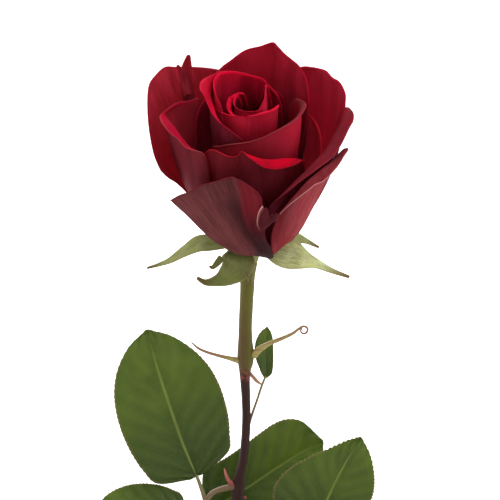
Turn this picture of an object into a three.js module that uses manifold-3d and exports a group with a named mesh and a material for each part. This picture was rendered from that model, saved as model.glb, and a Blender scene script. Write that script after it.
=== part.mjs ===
// A cut red rose standing in a clear glass bud vase with water.
// Millimetres, +Z up. The origin is the centre of the vase's foot, on the surface that it stands on.
// -Y is the front of the bloom, which nods a little that way.
import * as THREE from "three";
import { mergeVertices } from "three/addons/utils/BufferGeometryUtils.js";
import Module from "manifold-3d";

const wasm = await Module();
wasm.setup();

// ---- Driving dimensions ----
const VASE_HEIGHT = 160;
const VASE_FOOT_RADIUS = 24;
const VASE_BELLY_RADIUS = 33;
const VASE_NECK_RADIUS = 10;
const VASE_LIP_RADIUS = 14.5;
const GLASS_WALL = 2.6;
const VASE_FLOOR = 7; // thickness of the solid glass under the water
const WATER_LEVEL = 112;
const CLEARANCE = 0.3; // gap left between pieces that touch

const BLOOM_BASE = [10.6, -4, 266]; // where the petals' claws meet on the hip
const BLOOM_TILT = 16; // degrees that the bloom nods towards -Y
const PETAL_THICKNESS = 0.7;
const LEAF_THICKNESS = 0.7;
const SHORTEST_LIP = 0.8; // every petal's edge rolls out by at least this much
const LIP_ROWS = 2;
const TIGHTEST_ROLL = 0.8; // radius that a short lip may turn on

// ---- Small helpers ----
const radians = (degrees) => (degrees * Math.PI) / 180;
const mix = (a, b, t) => a + (b - a) * t;
const clamp = (x, low, high) => Math.min(high, Math.max(low, x));
const vector = (p) => new THREE.Vector3(...p);

// A row of numbers read off a smooth curve through the rows of a short table; t runs 0..1.
function readCurve(rows, t) {
  const x = clamp(t, 0, 1) * (rows.length - 1);
  const i = Math.min(Math.floor(x), rows.length - 2);
  const f = x - i;
  const at = (k) => rows[clamp(k, 0, rows.length - 1)];
  return rows[0].map((_, c) => {
    const [a, b, d, e] = [at(i - 1)[c], at(i)[c], at(i + 1)[c], at(i + 2)[c]];
    const first = (d - a) / 2;
    const last = (e - b) / 2;
    return (
      b * (2 * f ** 3 - 3 * f ** 2 + 1) +
      first * (f ** 3 - 2 * f ** 2 + f) +
      d * (3 * f ** 2 - 2 * f ** 3) +
      last * (f ** 3 - f ** 2)
    );
  });
}

// A closed solid as a manifold, from a geometry whose shared corners are merged first.
function toSolid(geometry) {
  const bare = new THREE.BufferGeometry();
  bare.setAttribute("position", geometry.getAttribute("position"));
  if (geometry.index) bare.setIndex(geometry.index);
  const merged = mergeVertices(bare, 1e-4);
  return new wasm.Manifold(
    new wasm.Mesh({
      numProp: 3,
      vertProperties: new Float32Array(merged.getAttribute("position").array),
      triVerts: new Uint32Array(merged.index.array),
    }),
  );
}

function toGeometry(solid) {
  const mesh = solid.getMesh();
  const corners = new Float32Array(mesh.numVert * 3);
  for (let i = 0; i < mesh.numVert; i++) {
    corners.set(mesh.vertProperties.subarray(i * mesh.numProp, i * mesh.numProp + 3), i * 3);
  }
  const geometry = new THREE.BufferGeometry();
  geometry.setAttribute("position", new THREE.BufferAttribute(corners, 3));
  geometry.setIndex(new THREE.BufferAttribute(mesh.triVerts, 1));
  geometry.computeVertexNormals();
  return geometry;
}

const fuse = (solids) => solids.reduce((whole, solid) => whole.add(solid));

// A thin solid blade: pointAt(across 0..1, along 0..1) is its middle surface, on a grid of columns by
// rows.
// Both faces are split into triangles alike, and a strip closes the edge all round.
function blade(pointAt, columns, rows, thickness) {
  const middle = (i, j) => pointAt(i / columns, j / rows);
  const grid = [];
  for (let j = 0; j <= rows; j++) {
    for (let i = 0; i <= columns; i++) grid.push(middle(i, j));
  }
  const at = (i, j) => grid[clamp(j, 0, rows) * (columns + 1) + clamp(i, 0, columns)];
  const faces = [[], []];
  for (let j = 0; j <= rows; j++) {
    for (let i = 0; i <= columns; i++) {
      const over = at(i + 1, j).clone().sub(at(i - 1, j));
      const up = at(i, j + 1).clone().sub(at(i, j - 1));
      const normal = over.cross(up).normalize().multiplyScalar(thickness / 2);
      faces[0].push(at(i, j).clone().add(normal));
      faces[1].push(at(i, j).clone().sub(normal));
    }
  }
  const corners = [...faces[0], ...faces[1]].flatMap((p) => p.toArray());
  const count = (columns + 1) * (rows + 1);
  const front = (i, j) => j * (columns + 1) + i;
  const back = (i, j) => count + front(i, j);
  const index = [];
  const quad = (a, b, c, d) => index.push(a, b, c, a, c, d);
  for (let j = 0; j < rows; j++) {
    for (let i = 0; i < columns; i++) {
      quad(front(i, j), front(i + 1, j), front(i + 1, j + 1), front(i, j + 1));
      index.push(back(i, j), back(i + 1, j + 1), back(i + 1, j));
      index.push(back(i, j), back(i, j + 1), back(i + 1, j + 1));
    }
  }
  for (let i = 0; i < columns; i++) {
    quad(front(i + 1, 0), front(i, 0), back(i, 0), back(i + 1, 0));
    quad(front(i, rows), front(i + 1, rows), back(i + 1, rows), back(i, rows));
  }
  for (let j = 0; j < rows; j++) {
    quad(front(0, j), front(0, j + 1), back(0, j + 1), back(0, j));
    quad(front(columns, j + 1), front(columns, j), back(columns, j), back(columns, j + 1));
  }
  const geometry = new THREE.BufferGeometry();
  geometry.setAttribute("position", new THREE.BufferAttribute(new Float32Array(corners), 3));
  geometry.setIndex(index);
  const solid = toSolid(geometry);
  if (solid.volume() > 0) return solid;
  const turned = index.slice();
  for (let k = 0; k < turned.length; k += 3) [turned[k + 1], turned[k + 2]] = [turned[k + 2],
  turned[k + 1]];
  geometry.setIndex(turned);
  return toSolid(geometry);
}

// A round rod along a smooth route; each row is x, y, z, radius.
function rod(route, steps, sides) {
  const rings = [];
  for (let s = 0; s <= steps; s++) rings.push(readCurve(route, s / steps));
  const corners = [];
  let side = null;
  rings.forEach(([x, y, z, radius], s) => {
    const before = vector(rings[Math.max(s - 1, 0)].slice(0, 3));
    const after = vector(rings[Math.min(s + 1, steps)].slice(0, 3));
    const along = after.sub(before).normalize();
    if (!side) side = new THREE.Vector3(0.31, 0.95, 0.05);
    side = side.clone().addScaledVector(along, -side.dot(along)).normalize();
    const other = along.clone().cross(side);
    for (let k = 0; k < sides; k++) {
      const turn = (2 * Math.PI * k) / sides;
      const p = new THREE.Vector3(x, y, z);
      p.addScaledVector(side, radius * Math.cos(turn)).addScaledVector(other, radius * Math.sin(turn));
      corners.push(...p.toArray());
    }
  });
  const index = [];
  for (let s = 0; s < steps; s++) {
    for (let k = 0; k < sides; k++) {
      const [a, b] = [s * sides + k, s * sides + ((k + 1) % sides)];
      index.push(a, b, b + sides, a, b + sides, a + sides);
    }
  }
  for (let k = 1; k < sides - 1; k++) {
    const last = steps * sides;
    index.push(0, k + 1, k, last, last + k, last + k + 1);
  }
  const geometry = new THREE.BufferGeometry();
  geometry.setAttribute("position", new THREE.BufferAttribute(new Float32Array(corners), 3));
  geometry.setIndex(index);
  return toSolid(geometry);
}

// ---- Vase and water ----
// Radius and height of the vase's outside, from the foot to the lip.
const VASE_OUTSIDE = [
  [VASE_FOOT_RADIUS, 0],
  [VASE_FOOT_RADIUS + 2.6, 2.2],
  [VASE_FOOT_RADIUS + 5.6, 12],
  [VASE_BELLY_RADIUS, 32],
  [VASE_BELLY_RADIUS - 3.4, 54],
  [21, 76],
  [13.2, 98],
  [VASE_NECK_RADIUS + 0.4, 118],
  [VASE_NECK_RADIUS, 134],
  [VASE_NECK_RADIUS + 1.2, 148],
  [VASE_LIP_RADIUS, VASE_HEIGHT],
];
const OUTSIDE_STEPS = 18;
const ROUND_SIDES = 28;
const FLOOR_CORNER = 7; // radius of the round corner between the inner wall and the floor
const INSIDE_HEIGHTS = [20, 30, 40, 50, 60, 70, 80, 90, 100, 112, 126, 140, 152, VASE_HEIGHT];

function radiusAt(height) {
  let [low, high] = [0, 1];
  for (let k = 0; k < 40; k++) {
    const t = (low + high) / 2;
    if (readCurve(VASE_OUTSIDE, t)[1] < height) low = t;
    else high = t;
  }
  return readCurve(VASE_OUTSIDE, low)[0];
}

// The inner wall from the floor up to a height, one wall in from the outside and moved in by a gap.
function insideWall(gap, top) {
  const cornerHeight = VASE_FLOOR + FLOOR_CORNER;
  const cornerRadius = radiusAt(cornerHeight) - GLASS_WALL - FLOOR_CORNER;
  const rows = [];
  for (let k = 0; k <= 3; k++) {
    const turn = (k * Math.PI) / 6;
    const reach = FLOOR_CORNER - gap;
    rows.push([cornerRadius + reach * Math.sin(turn), cornerHeight - reach * Math.cos(turn)]);
  }
  for (const height of INSIDE_HEIGHTS) {
    if (height <= top) rows.push([radiusAt(height) - GLASS_WALL - gap, height]);
  }
  return rows;
}

function turned(profile, sides) {
  const points = profile.map(([r, z]) => new THREE.Vector2(r, z));
  const geometry = new THREE.LatheGeometry(points, sides);
  geometry.rotateX(Math.PI / 2); // the lathe's axis is +Y; the part's is +Z
  return toSolid(geometry);
}

function makeVase() {
  const outside = [];
  for (let s = 0; s <= OUTSIDE_STEPS; s++) outside.push(readCurve(VASE_OUTSIDE, s / OUTSIDE_STEPS));
  const inside = insideWall(0, VASE_HEIGHT).reverse();
  return turned([[0, 0], ...outside, ...inside, [0, VASE_FLOOR]], ROUND_SIDES);
}

function makeWater() {
  const inside = insideWall(CLEARANCE, WATER_LEVEL);
  const body = turned([[0, VASE_FLOOR + CLEARANCE], ...inside, [0, WATER_LEVEL]], ROUND_SIDES);
  const gap = CLEARANCE + 0.1;
  const hole = rod(STEM_ROUTE.map(([x, y, z, r]) => [x, y, z, r + gap]), STEM_STEPS, STEM_SIDES);
  const [x, y, z, radius] = STEM_ROUTE[STEM_ROUTE.length - 1];
  const foot = rod([[x, y, z + 1, radius + gap], [x, y, z - 3, radius + gap]], 1, 12);
  return body.subtract(hole).subtract(foot);
}

// ---- Stem ----
// x, y, z and radius, from just under the hip down to the cut end on the vase's floor.
const STEM_ROUTE = [
  [10.6, -1.55, 257.4, 2.5],
  [9.8, -0.5, 252.8, 2.5],
  [9.6, -0.5, 247.7, 2.35],
  [9.1, -1, 237.5, 2.25],
  [9.0, -1.4, 231.5, 2.35],
  [9.1, -2, 226.8, 2.75],
  [9.1, -2.2, 223.4, 2.6],
  [8.9, -2.2, 219, 1.8],
  [9.2, -2.2, 212, 1.5],
  [9.4, -2.2, 205, 1.45],
  [9.1, -2.2, 197, 1.46],
  [8.3, -2.2, 189.4, 1.5],
  [7.2, -2.2, 184.5, 1.7],
  [6.6, -2.2, 180.3, 2.15],
  [6.4, -2.2, 175, 2.05],
  [6.1, -2.2, 170, 2.2],
  [5, -1.9, 158, 1.95],
  [3.8, -1.4, 130, 2],
  [2.5, -0.9, 90, 2.1],
  [1.2, -0.4, 50, 2.2],
  [0.2, 0, VASE_FLOOR + CLEARANCE, 2.3],
];
const STEM_STEPS = 44;
const STEM_SIDES = 9;

function stemAt(height) {
  let [low, high] = [0, 1];
  for (let k = 0; k < 40; k++) {
    const t = (low + high) / 2;
    if (readCurve(STEM_ROUTE, t)[2] > height) low = t;
    else high = t;
  }
  return readCurve(STEM_ROUTE, low);
}

// Prickles: height on the stem, direction round it in degrees, length.
const PRICKLES = [
  [176, 60, 3.8],
  [166, 205, 4.2],
];
const RISING_PRICKLE = [[5.6, -2.6, 180.2, 1.2], [3.6, -3.6, 182.4, 0.85], [2.5, -4.4, 184.8, 0.6],
  [1.9, -5, 187.4, 0.3]];

function prickle([height, azimuth, length]) {
  const [x, y, z, radius] = stemAt(height);
  const out = new THREE.Vector3(Math.cos(radians(azimuth)), Math.sin(radians(azimuth)), 0);
  const root = new THREE.Vector3(x, y, z).addScaledVector(out, radius * 0.35);
  const row = (reach, rise, thick) => [
    root.x + out.x * reach,
    root.y + out.y * reach,
    root.z + rise,
    thick,
  ];
  return rod(
    [
      row(0, 0, length * 0.36),
      row(radius * 0.65 + length * 0.35, length * -0.1, length * 0.17),
      row(radius * 0.65 + length, length * -0.35, 0.3),
    ],
    3,
    6,
  );
}

const makeStem = () =>
  fuse([rod(STEM_ROUTE, STEM_STEPS, STEM_SIDES), rod(RISING_PRICKLE, 4, 6), ...PRICKLES.map(prickle)]);

// ---- Bloom ----
// The bloom has its own frame: origin at the petals' claws, +Z along its axis. Azimuth 0 is +X, 90 is
// away from the front.
const bloomFrame = new THREE.Matrix4()
  .makeTranslation(...BLOOM_BASE)
  .multiply(new THREE.Matrix4().makeRotationX(radians(BLOOM_TILT)));

// A petal runs from its claw (root azimuth, radius, height, half-width in degrees) up to its rim.
// reach and rise place the first bend of its profile, waist and hip the second, and curl is how far
// its lip rolls out.
// Each row of rim is azimuth, radius, height and lip length. Where the side margins are drawn too, left and
// right run from the claw to the ends of the rim, each row an azimuth, a radius and a height, belly lowers
// the middle, and power is how late the rim's own shape shows.
const PETALS = [
  {
    name: "petal_front_left", curl: 50,
    left: [
      [258, 9.2, 0.2], [258.5, 14, 1.2], [254.5, 18.8, 4.4], [247, 20.9, 6.9], [238, 22.5, 9.3],
      [229, 24.4, 13.2], [221.5, 27, 17.8], [214, 30.2, 22.2],
    ],
    right: [
      [279, 9.2, 0.2], [281, 15, 2.2], [281.5, 20, 6.6], [280, 24, 12.6], [279, 27.2, 19.2],
      [279, 28.8, 24.4], [277.5, 29.5, 28.2],
    ],
    rim: [
      [214, 30.2, 22.2, 0.8], [221, 29.4, 25.2, 0.8], [229, 28.8, 27.7, 0.8], [239, 28.4, 31.4, 0.8],
      [250, 28.2, 34, 0.8], [257, 28.3, 35.6, 0.8], [261, 28.6, 36, 0.8], [266, 29, 34.6, 0.8],
      [271, 29.4, 32.6, 1.2], [275, 29.6, 30.4, 1.2], [277.5, 29.5, 28.2, 1],
    ],
  },
  {
    name: "petal_front_right", curl: 140,
    left: [
      [330, 8.8, 0.2], [335, 13.2, 0.9], [341, 17.9, 5.5], [347, 22.2, 14], [352, 25.2, 21.5],
      [354, 28.2, 28.5],
    ],
    right: [[294, 8.8, 0.5], [289, 14.5, 2.6], [286, 19.4, 7.8], [285.5, 23.6, 15.6], [289, 26.8, 20.8]],
    rim: [
      [354, 28.2, 28.5, 0.8], [349, 29.4, 34, 2], [337, 29.6, 35.1, 3], [321, 29.8, 35, 4],
      [310, 29.8, 32.9, 4], [302, 29.4, 29.6, 4], [295, 28.8, 25.6, 4], [289, 26.8, 20.8, 3],
    ],
  },
  {
    name: "petal_back_outer", root: [97, 8.6, 0.6, 22], reach: 9, rise: -1.8, waist: 0.4, hip: 0.42,
    curl: 60,
    rim: [
      [132, 26.6, 22, 0.8], [126, 30.6, 32, 1], [112, 31.6, 37.5, 1.5], [95, 31.8, 39.5, 1.5],
      [78, 31.6, 37.5, 1.5],
      [66, 30.6, 32, 1], [60, 26.6, 22, 0.8],
    ],
  },
  {
    name: "petal_left_outer", curl: 70, belly: -4.2, power: 2.2,
    left: [
      [170, 8.5, 0.8], [169, 13.5, 4.2], [169.5, 17.6, 9.6], [174, 20.5, 15.4], [183, 23.8, 21],
      [193, 26.8, 25.2], [195, 29, 27.8],
    ],
    right: [
      [130, 8.5, 0.8], [125, 13, 2.5], [118, 16.2, 8.2], [112, 18.8, 17], [107, 21.5, 28.3],
      [105, 25, 41], [113, 26.4, 49],
    ],
    rim: [
      [195, 29, 27.8, 0.8], [191, 31, 33, 0.8], [186, 32.2, 39.5, 0.8], [180, 32.7, 46, 0.8],
      [172, 32.6, 51.7, 0.8], [161, 31.6, 53, 0.8], [151, 31.2, 53.3, 0.8], [143, 30.4, 51.9, 0.8],
      [132, 29.4, 50.4, 0.8], [122, 27.6, 49.5, 0.8], [113, 26.4, 49, 0.8],
    ],
  },
  {
    name: "petal_right_back", root: [40, 8.2, 1.0, 22], reach: 9, rise: -0.8, waist: -1, hip: 0.42,
    curl: 60,
    rim: [
      [78, 24.6, 37, 0.8], [66, 25.6, 46, 0.8], [53, 27, 50.5, 0.8], [45, 28, 51.4, 0.8],
      [40, 29, 51.3, 0.8],
      [35, 29.6, 51.1, 0.8], [30, 30.2, 49.6, 0.8], [25, 30.8, 49.5, 0.8], [19, 31, 48.6, 0.8],
      [13, 31, 46.4, 0.8],
      [10, 30.2, 41.5, 0.8], [9, 27.5, 33, 0.8],
    ],
  },
  {
    name: "petal_right", root: [330, 7.6, 1.3, 22], reach: 7.4, rise: 0, waist: -4, hip: 0.46, curl: 150,
    rim: [
      [372, 27, 35, 0.8], [367, 29, 43.5, 0.8], [360, 29.8, 46, 2.5], [350, 29.2, 44, 4.5],
      [341, 28.4, 41, 5],
      [331, 27.8, 38.5, 5], [319, 27.4, 36.4, 5], [308, 27, 33.4, 4], [299, 26.2, 30, 3],
      [291, 25.2, 26.4, 2],
      [284, 23.4, 22, 0.8], [280, 20.5, 15, 0.8],
    ],
  },
  {
    name: "petal_left", root: [188, 6.8, 1.7, 22], reach: 7, rise: 1.4, waist: -1.6, hip: 0.5, curl: 120,
    rim: [
      [132, 20.4, 35, 0.8], [140, 21.6, 42.6, 0.8], [152, 22.6, 43.6, 0.8], [167, 25, 45, 0.8],
      [182, 27.8, 45.4, 0.8],
      [197, 26.6, 45.2, 3], [212, 25.8, 43, 4], [217, 25.2, 40.8, 3], [227, 25, 40.9, 1.2],
      [233, 24.4, 40, 0.8],
      [234, 22.8, 34.5, 0.8],
    ],
  },
  {
    name: "petal_right_inner", root: [10, 6.9, 1.7, 16], reach: 5.6, rise: 1, waist: -0.8, hip: 0.62,
    curl: 60,
    rim: [
      [62, 22.6, 34, 0.8], [48, 23.4, 37, 0.8], [38, 24, 37.4, 0.8], [27, 24, 36, 0.8],
      [15, 23.6, 33.5, 0.8],
      [4, 22.8, 29, 0.8], [-6, 20.6, 22, 0.8],
    ],
  },
  {
    name: "petal_back", root: [68, 6.2, 1.9, 22], reach: 5.2, rise: 2, waist: 0, hip: 0.48, curl: 50,
    rim: [
      [130, 18.8, 39, 0.8], [124, 20.4, 49.5, 0.8], [116, 21.2, 52, 0.8], [107, 21.4, 53.9, 0.8],
      [98, 21.6, 56.3, 0.8],
      [91, 21.8, 57.6, 0.8], [81, 22, 58.6, 0.8], [71, 22.6, 60.6, 0.8], [66, 22.4, 58.8, 0.8],
      [60, 22, 57.1, 0.8],
      [52, 21.8, 55.8, 0.8], [43, 21.6, 54.7, 0.8], [33, 21.2, 52.6, 0.8], [23, 20.4, 49.2, 0.8],
      [17, 19.8, 45, 0.8],
      [13, 18.4, 38, 0.8], [10, 16.8, 30, 0.8],
    ],
  },
  {
    name: "petal_front", root: [276, 6.0, 2.1, 22], reach: 6, rise: 2.0, waist: -0.6, hip: 0.5, curl: 120,
    rim: [
      [222, 20, 28, 0.8], [226, 21.2, 36.2, 0.8], [233, 21.8, 40, 0.8], [239, 21.9, 41, 0.8],
      [245, 22, 40.8, 1],
      [252, 22, 40, 1], [259, 22, 40, 0.8], [263, 21.6, 41.6, 0.8], [268, 22, 40.4, 2],
      [277, 22.2, 39.4, 3.2],
      [288, 22.2, 38.9, 3.6], [301, 22, 38.1, 2.8], [315, 21.5, 35.8, 1.2], [328, 20.6, 30, 0.8],
    ],
  },
  {
    name: "petal_back_left_inner", root: [130, 5.5, 2.3, 22], reach: 5, rise: 4, waist: 0, hip: 0.5,
    curl: 60,
    rim: [
      [172, 17.6, 31, 0.8], [160, 18.2, 40, 1], [142, 18.4, 44, 1], [120, 18, 45, 1], [102, 17.6, 42, 1],
      [90, 16.8, 33, 0.8],
    ],
  },
  {
    name: "petal_back_right_inner", root: [62, 5.5, 2.3, 22], reach: 5, rise: 4, waist: 0, hip: 0.5,
    curl: 60,
    rim: [
      [88, 17, 38, 0.8], [80, 17.5, 42.5, 0.8], [67, 18, 45, 0.8], [57, 18, 44.5, 0.8],
      [50, 17.6, 41.5, 0.8], [45, 17, 37, 0.8],
    ],
  },
  {
    name: "petal_inner_right", root: [305, 5.1, 2.6, 26], reach: 5, rise: 4, waist: 0.2, hip: 0.5,
    curl: 70,
    rim: [
      [220, 15.6, 32, 0.8], [225, 16.8, 38.2, 0.8], [239, 17.2, 40.4, 0.8], [253, 17.4, 42.1, 0.8],
      [268, 17.6, 43.2, 0.8],
      [283, 17.8, 44.7, 0.8], [295, 17.8, 46, 0.8], [309, 17.8, 47.2, 0.8], [322, 17.8, 47.9, 1],
      [334, 17.6, 48.3, 1],
      [346, 17.2, 48.7, 1], [362, 16.9, 48, 1], [376, 16.4, 47.3, 0.8], [390, 15.7, 45.5, 0.8],
      [400, 15, 39, 0.8],
    ],
  },
  {
    name: "petal_inner_left", root: [160, 4.5, 2.9, 26], reach: 4.4, rise: 5, waist: 0.2, hip: 0.5,
    curl: 90,
    rim: [
      [270, 14, 35, 0.8], [264, 14.5, 41, 0.8], [250, 14.6, 44.3, 0.8], [236, 14.6, 46.3, 0.8],
      [219, 14.8, 48.4, 1.2],
      [205, 15, 50.7, 1.6], [191, 15.2, 53, 2], [170, 15.4, 53.8, 1.6], [153, 15.4, 53.8, 1.2],
      [142, 15.2, 54.1, 0.8],
      [130, 15, 54.1, 0.8], [117, 14.8, 53.5, 0.8], [103, 14.6, 52.7, 0.8], [86, 14.4, 51.2, 0.8],
      [71, 14.2, 49.5, 0.8], [58, 14, 47.5, 0.8], [47, 13.8, 45.3, 0.8], [40, 13.5, 42, 0.8],
      [35, 13, 36, 0.8],
    ],
  },
];

// The rolled petals of the heart, fused at their claws.
const HEART_PETALS = [
  { root: [120, 3.6, 3, 40], reach: 5, rise: 8, waist: 0.3, hip: 0.5, curl: 40, rim: [
    [222, 10.9, 44, 0.8], [216, 11.2, 51, 0.8], [203, 11.2, 52.8, 0.8], [188, 11.3, 53.7, 0.8],
    [166, 11.4, 53.8, 0.8],
    [148, 11.5, 53.3, 0.8], [131, 11.7, 53.6, 0.8], [112, 12, 53.2, 0.8], [92, 12.2, 51.6, 0.8],
    [73, 12.2, 49.6, 0.8],
    [58, 12, 47.4, 0.8], [47, 11.8, 44.8, 0.8], [41, 11.5, 40, 0.8]] },
  { root: [250, 3.6, 3, 40], reach: 5, rise: 8, waist: 0, hip: 0.5, curl: 40, rim: [
    [196, 9.6, 44, 0.8], [205, 9.9, 50.6, 0.8], [222, 10.2, 51, 0.8], [240, 10.6, 50.4, 0.8],
    [258, 11.2, 49.4, 0.8],
    [272, 11.5, 46.5, 0.8], [280, 11.5, 40, 0.8]] },
  { root: [310, 3.4, 3, 40], reach: 4, rise: 8, waist: 0, hip: 0.5, curl: 60, rim: [
    [262, 9.6, 42, 0.8], [268, 10.1, 48.5, 0.8], [284, 10.2, 50, 0.8], [309, 10.2, 50.8, 0.8],
    [330, 10.2, 51.5, 1.2],
    [342, 10.6, 52, 1.2], [352, 10.4, 50, 0.8], [358, 10, 44, 0.8]] },
  { root: [165, 3.0, 3, 40], reach: 3, rise: 8, waist: 0, hip: 0.5, curl: 40, rim: [
    [238, 7.4, 43.5, 0.8], [222, 7.7, 49, 0.8], [203, 7.9, 50.7, 0.8], [180, 7.8, 51.2, 0.8],
    [155, 7.7, 51, 0.8],
    [130, 7.6, 50.4, 0.8], [110, 7.4, 49.4, 0.8], [95, 7.2, 45, 0.8]] },
  { root: [30, 3.0, 3, 40], reach: 3, rise: 8, waist: 0, hip: 0.5, curl: 40, rim: [
    [104, 9.4, 47, 0.8], [84, 9.3, 50.6, 0.8], [62, 9, 51.6, 0.8], [44, 8.6, 51.4, 0.8],
    [20, 7.6, 51, 0.8],
    [-10, 7, 50.4, 0.8], [-45, 6.8, 49.2, 0.8], [-75, 6.8, 44, 0.8]] },
  { root: [245, 2.4, 3, 50], reach: 2, rise: 8, waist: 0, hip: 0.5, curl: 30, rim: [
    [150, 4.7, 46, 0.8], [168, 4.8, 49.6, 0.8], [205, 4.9, 49.4, 0.8], [248, 5, 49, 0.8],
    [290, 5, 49.2, 0.8],
    [322, 4.9, 47.5, 0.8], [335, 4.8, 42.5, 0.8]] },
  { root: [100, 1.8, 3, 60], reach: 1, rise: 6, waist: 0, hip: 0.5, curl: 20, rim: [
    [20, 3.2, 42, 0.8], [60, 3.3, 46, 0.8], [120, 3.2, 47.5, 0.8], [180, 3, 47, 0.8], [240, 2.8, 45, 0.8],
    [280, 2.6, 41, 0.8]] },
];
const HEART_COLUMNS = 8;
const PETAL_ROWS = 5;
const HEART_CORE = [[0, 2.4], [3, 2.4], [3.9, 3.6], [3.6, 9], [2.2, 20], [1.6, 40], [0, 43]];

// Azimuth, radius and height of a petal's blade, from its claw (v 0) to its rim (v 1), and the way that it
// leans there. A petal with left and right margins is stretched between them and its rim; any other one
// follows one bend from its claw.
function bladePoint(petal, across, v) {
  const [azimuth, radius, height] = readCurve(petal.rim, across);
  if (petal.left) {
    const [left, right] = [readCurve(petal.left, v), readCurve(petal.right, v)];
    const [first, last] = [petal.rim[0], petal.rim[petal.rim.length - 1]];
    const [turn, r, z] = [azimuth, radius, height].map(
      (top, c) =>
        mix(left[c], right[c], across) + v ** (petal.power ?? 1.5) * (top - mix(first[c], last[c], across)),
    );
    return [turn, r, z + (petal.belly ?? 0) * Math.sin(Math.PI * across) * 4 * v * (1 - v)];
  }
  const [rootAzimuth, rootRadius, rootHeight, halfClaw] = petal.root;
  const firstEnd = petal.rim[0][0];
  const lastEnd = petal.rim[petal.rim.length - 1][0];
  const clawAzimuth = rootAzimuth + halfClaw * (2 * across - 1) * Math.sign(lastEnd - firstEnd);
  const widening = 1 - (1 - v) ** (petal.flare ?? 2.2); // how soon the claw widens to the blade
  const spread = clamp((radius - rootRadius) / 16, 0.2, 1); // a short side of the petal bends less
  const bends = [
    [rootRadius, rootHeight],
    [rootRadius + petal.reach * spread, rootHeight + petal.rise * spread],
    [radius + petal.waist, height * petal.hip],
    [radius, height],
  ];
  const weights = [(1 - v) ** 3, 3 * v * (1 - v) ** 2, 3 * v * v * (1 - v), v ** 3];
  const [r, z] = [0, 1].map((c) => bends.reduce((sum, bend, k) => sum + weights[k] * bend[c], 0));
  return [mix(clawAzimuth, azimuth, widening), r, z];
}

// How far the lip turns over, in radians: less where it is short, and hardly where the rim runs steeply.
function lipCurl(petal, across, lip) {
  const [azimuth, radius, height] = readCurve(petal.rim, across + 0.02);
  const [azimuthBefore, radiusBefore, heightBefore] = readCurve(petal.rim, across - 0.02);
  const level = Math.hypot(radians(azimuth - azimuthBefore) * radius, radius - radiusBefore);
  const steep = height - heightBefore;
  const flatness = level ** 2 / (level ** 2 + steep ** 2);
  return Math.max(Math.min(radians(petal.curl), lip / TIGHTEST_ROLL) * flatness, 0.05);
}

// A point of a petal: across runs 0..1 over its width, along 0..1 from claw to rim and 1..2 over the lip.
function petalPoint(petal, across, along) {
  let [turn, r, z] = bladePoint(petal, across, Math.min(along, 1));
  if (along > 1) {
    const [, radiusBelow, heightBelow] = bladePoint(petal, across, 0.97);
    const lip = Math.max(readCurve(petal.rim, across)[3], SHORTEST_LIP);
    const start = Math.atan2(r - radiusBelow, z - heightBelow);
    const bend = lipCurl(petal, across, lip) / lip;
    const end = start + bend * lip * (along - 1);
    r += (Math.cos(start) - Math.cos(end)) / bend;
    z += (Math.sin(end) - Math.sin(start)) / bend;
  }
  return new THREE.Vector3(r * Math.cos(radians(turn)), r * Math.sin(radians(turn)), z);
}

function makePetal(petal, columns) {
  const rows = PETAL_ROWS + LIP_ROWS;
  const pointAt = (across, t) => {
    const row = t * rows;
    const along = row <= PETAL_ROWS ? row / PETAL_ROWS : 1 + (row - PETAL_ROWS) / LIP_ROWS;
    return petalPoint(petal, across, along).applyMatrix4(bloomFrame);
  };
  return blade(pointAt, columns, rows, PETAL_THICKNESS);
}

function makeHeart() {
  const core = turned(HEART_CORE, 10).transform(bloomFrame.toArray());
  return fuse([core, ...HEART_PETALS.map((petal) => makePetal(petal, HEART_COLUMNS))]);
}

// ---- Blades along a curve: sepals, leaflets, bracts ----
// route rows are x, y, z; face is the way the upper side looks at the root, faceEnd at the tip.
// left and right are the half-widths as functions of the share along; fold lifts both edges above the
// middle line.
function ribbon({ route, face, faceEnd = face, left, right = left, fold = 0 }, columns, rows, thickness) {
  const pointAt = (across, along) => {
    const step = 0.01;
    const here = vector(readCurve(route, along));
    const ahead = vector(readCurve(route, Math.min(along + step, 1)));
    const behind = vector(readCurve(route, Math.max(along - step, 0)));
    const forward = ahead.sub(behind).normalize();
    const up = vector(face).lerp(vector(faceEnd), along).normalize();
    const side = forward.clone().cross(up).normalize();
    const normal = side.clone().cross(forward).normalize();
    const reach = 2 * across - 1;
    const half = Math.max(reach < 0 ? left(along) : right(along), 0.35);
    return here.addScaledVector(side, half * reach).addScaledVector(normal,
    fold * half * Math.abs(reach));
  };
  return blade(pointAt, columns, rows, thickness);
}

const inBloom = (p) => vector(p).applyMatrix4(bloomFrame).toArray();
const turnedToBloom = (p) => vector(p).transformDirection(bloomFrame).toArray();

// ---- Calyx ----
// Radius and height of the hip and the cup under the petals, in the bloom's frame.
const HIP_PROFILE = [[0, -8.6], [2.5, -8.4], [3.0, -7], [3.9, -4.8], [4.5, -3.2], [6.2, -2.2],
  [9.1, -1.7], [9.2, -1.0],
  [7.2, 0.2], [5, 1.3], [3.2, 1.9], [0, 2.0]];

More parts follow.
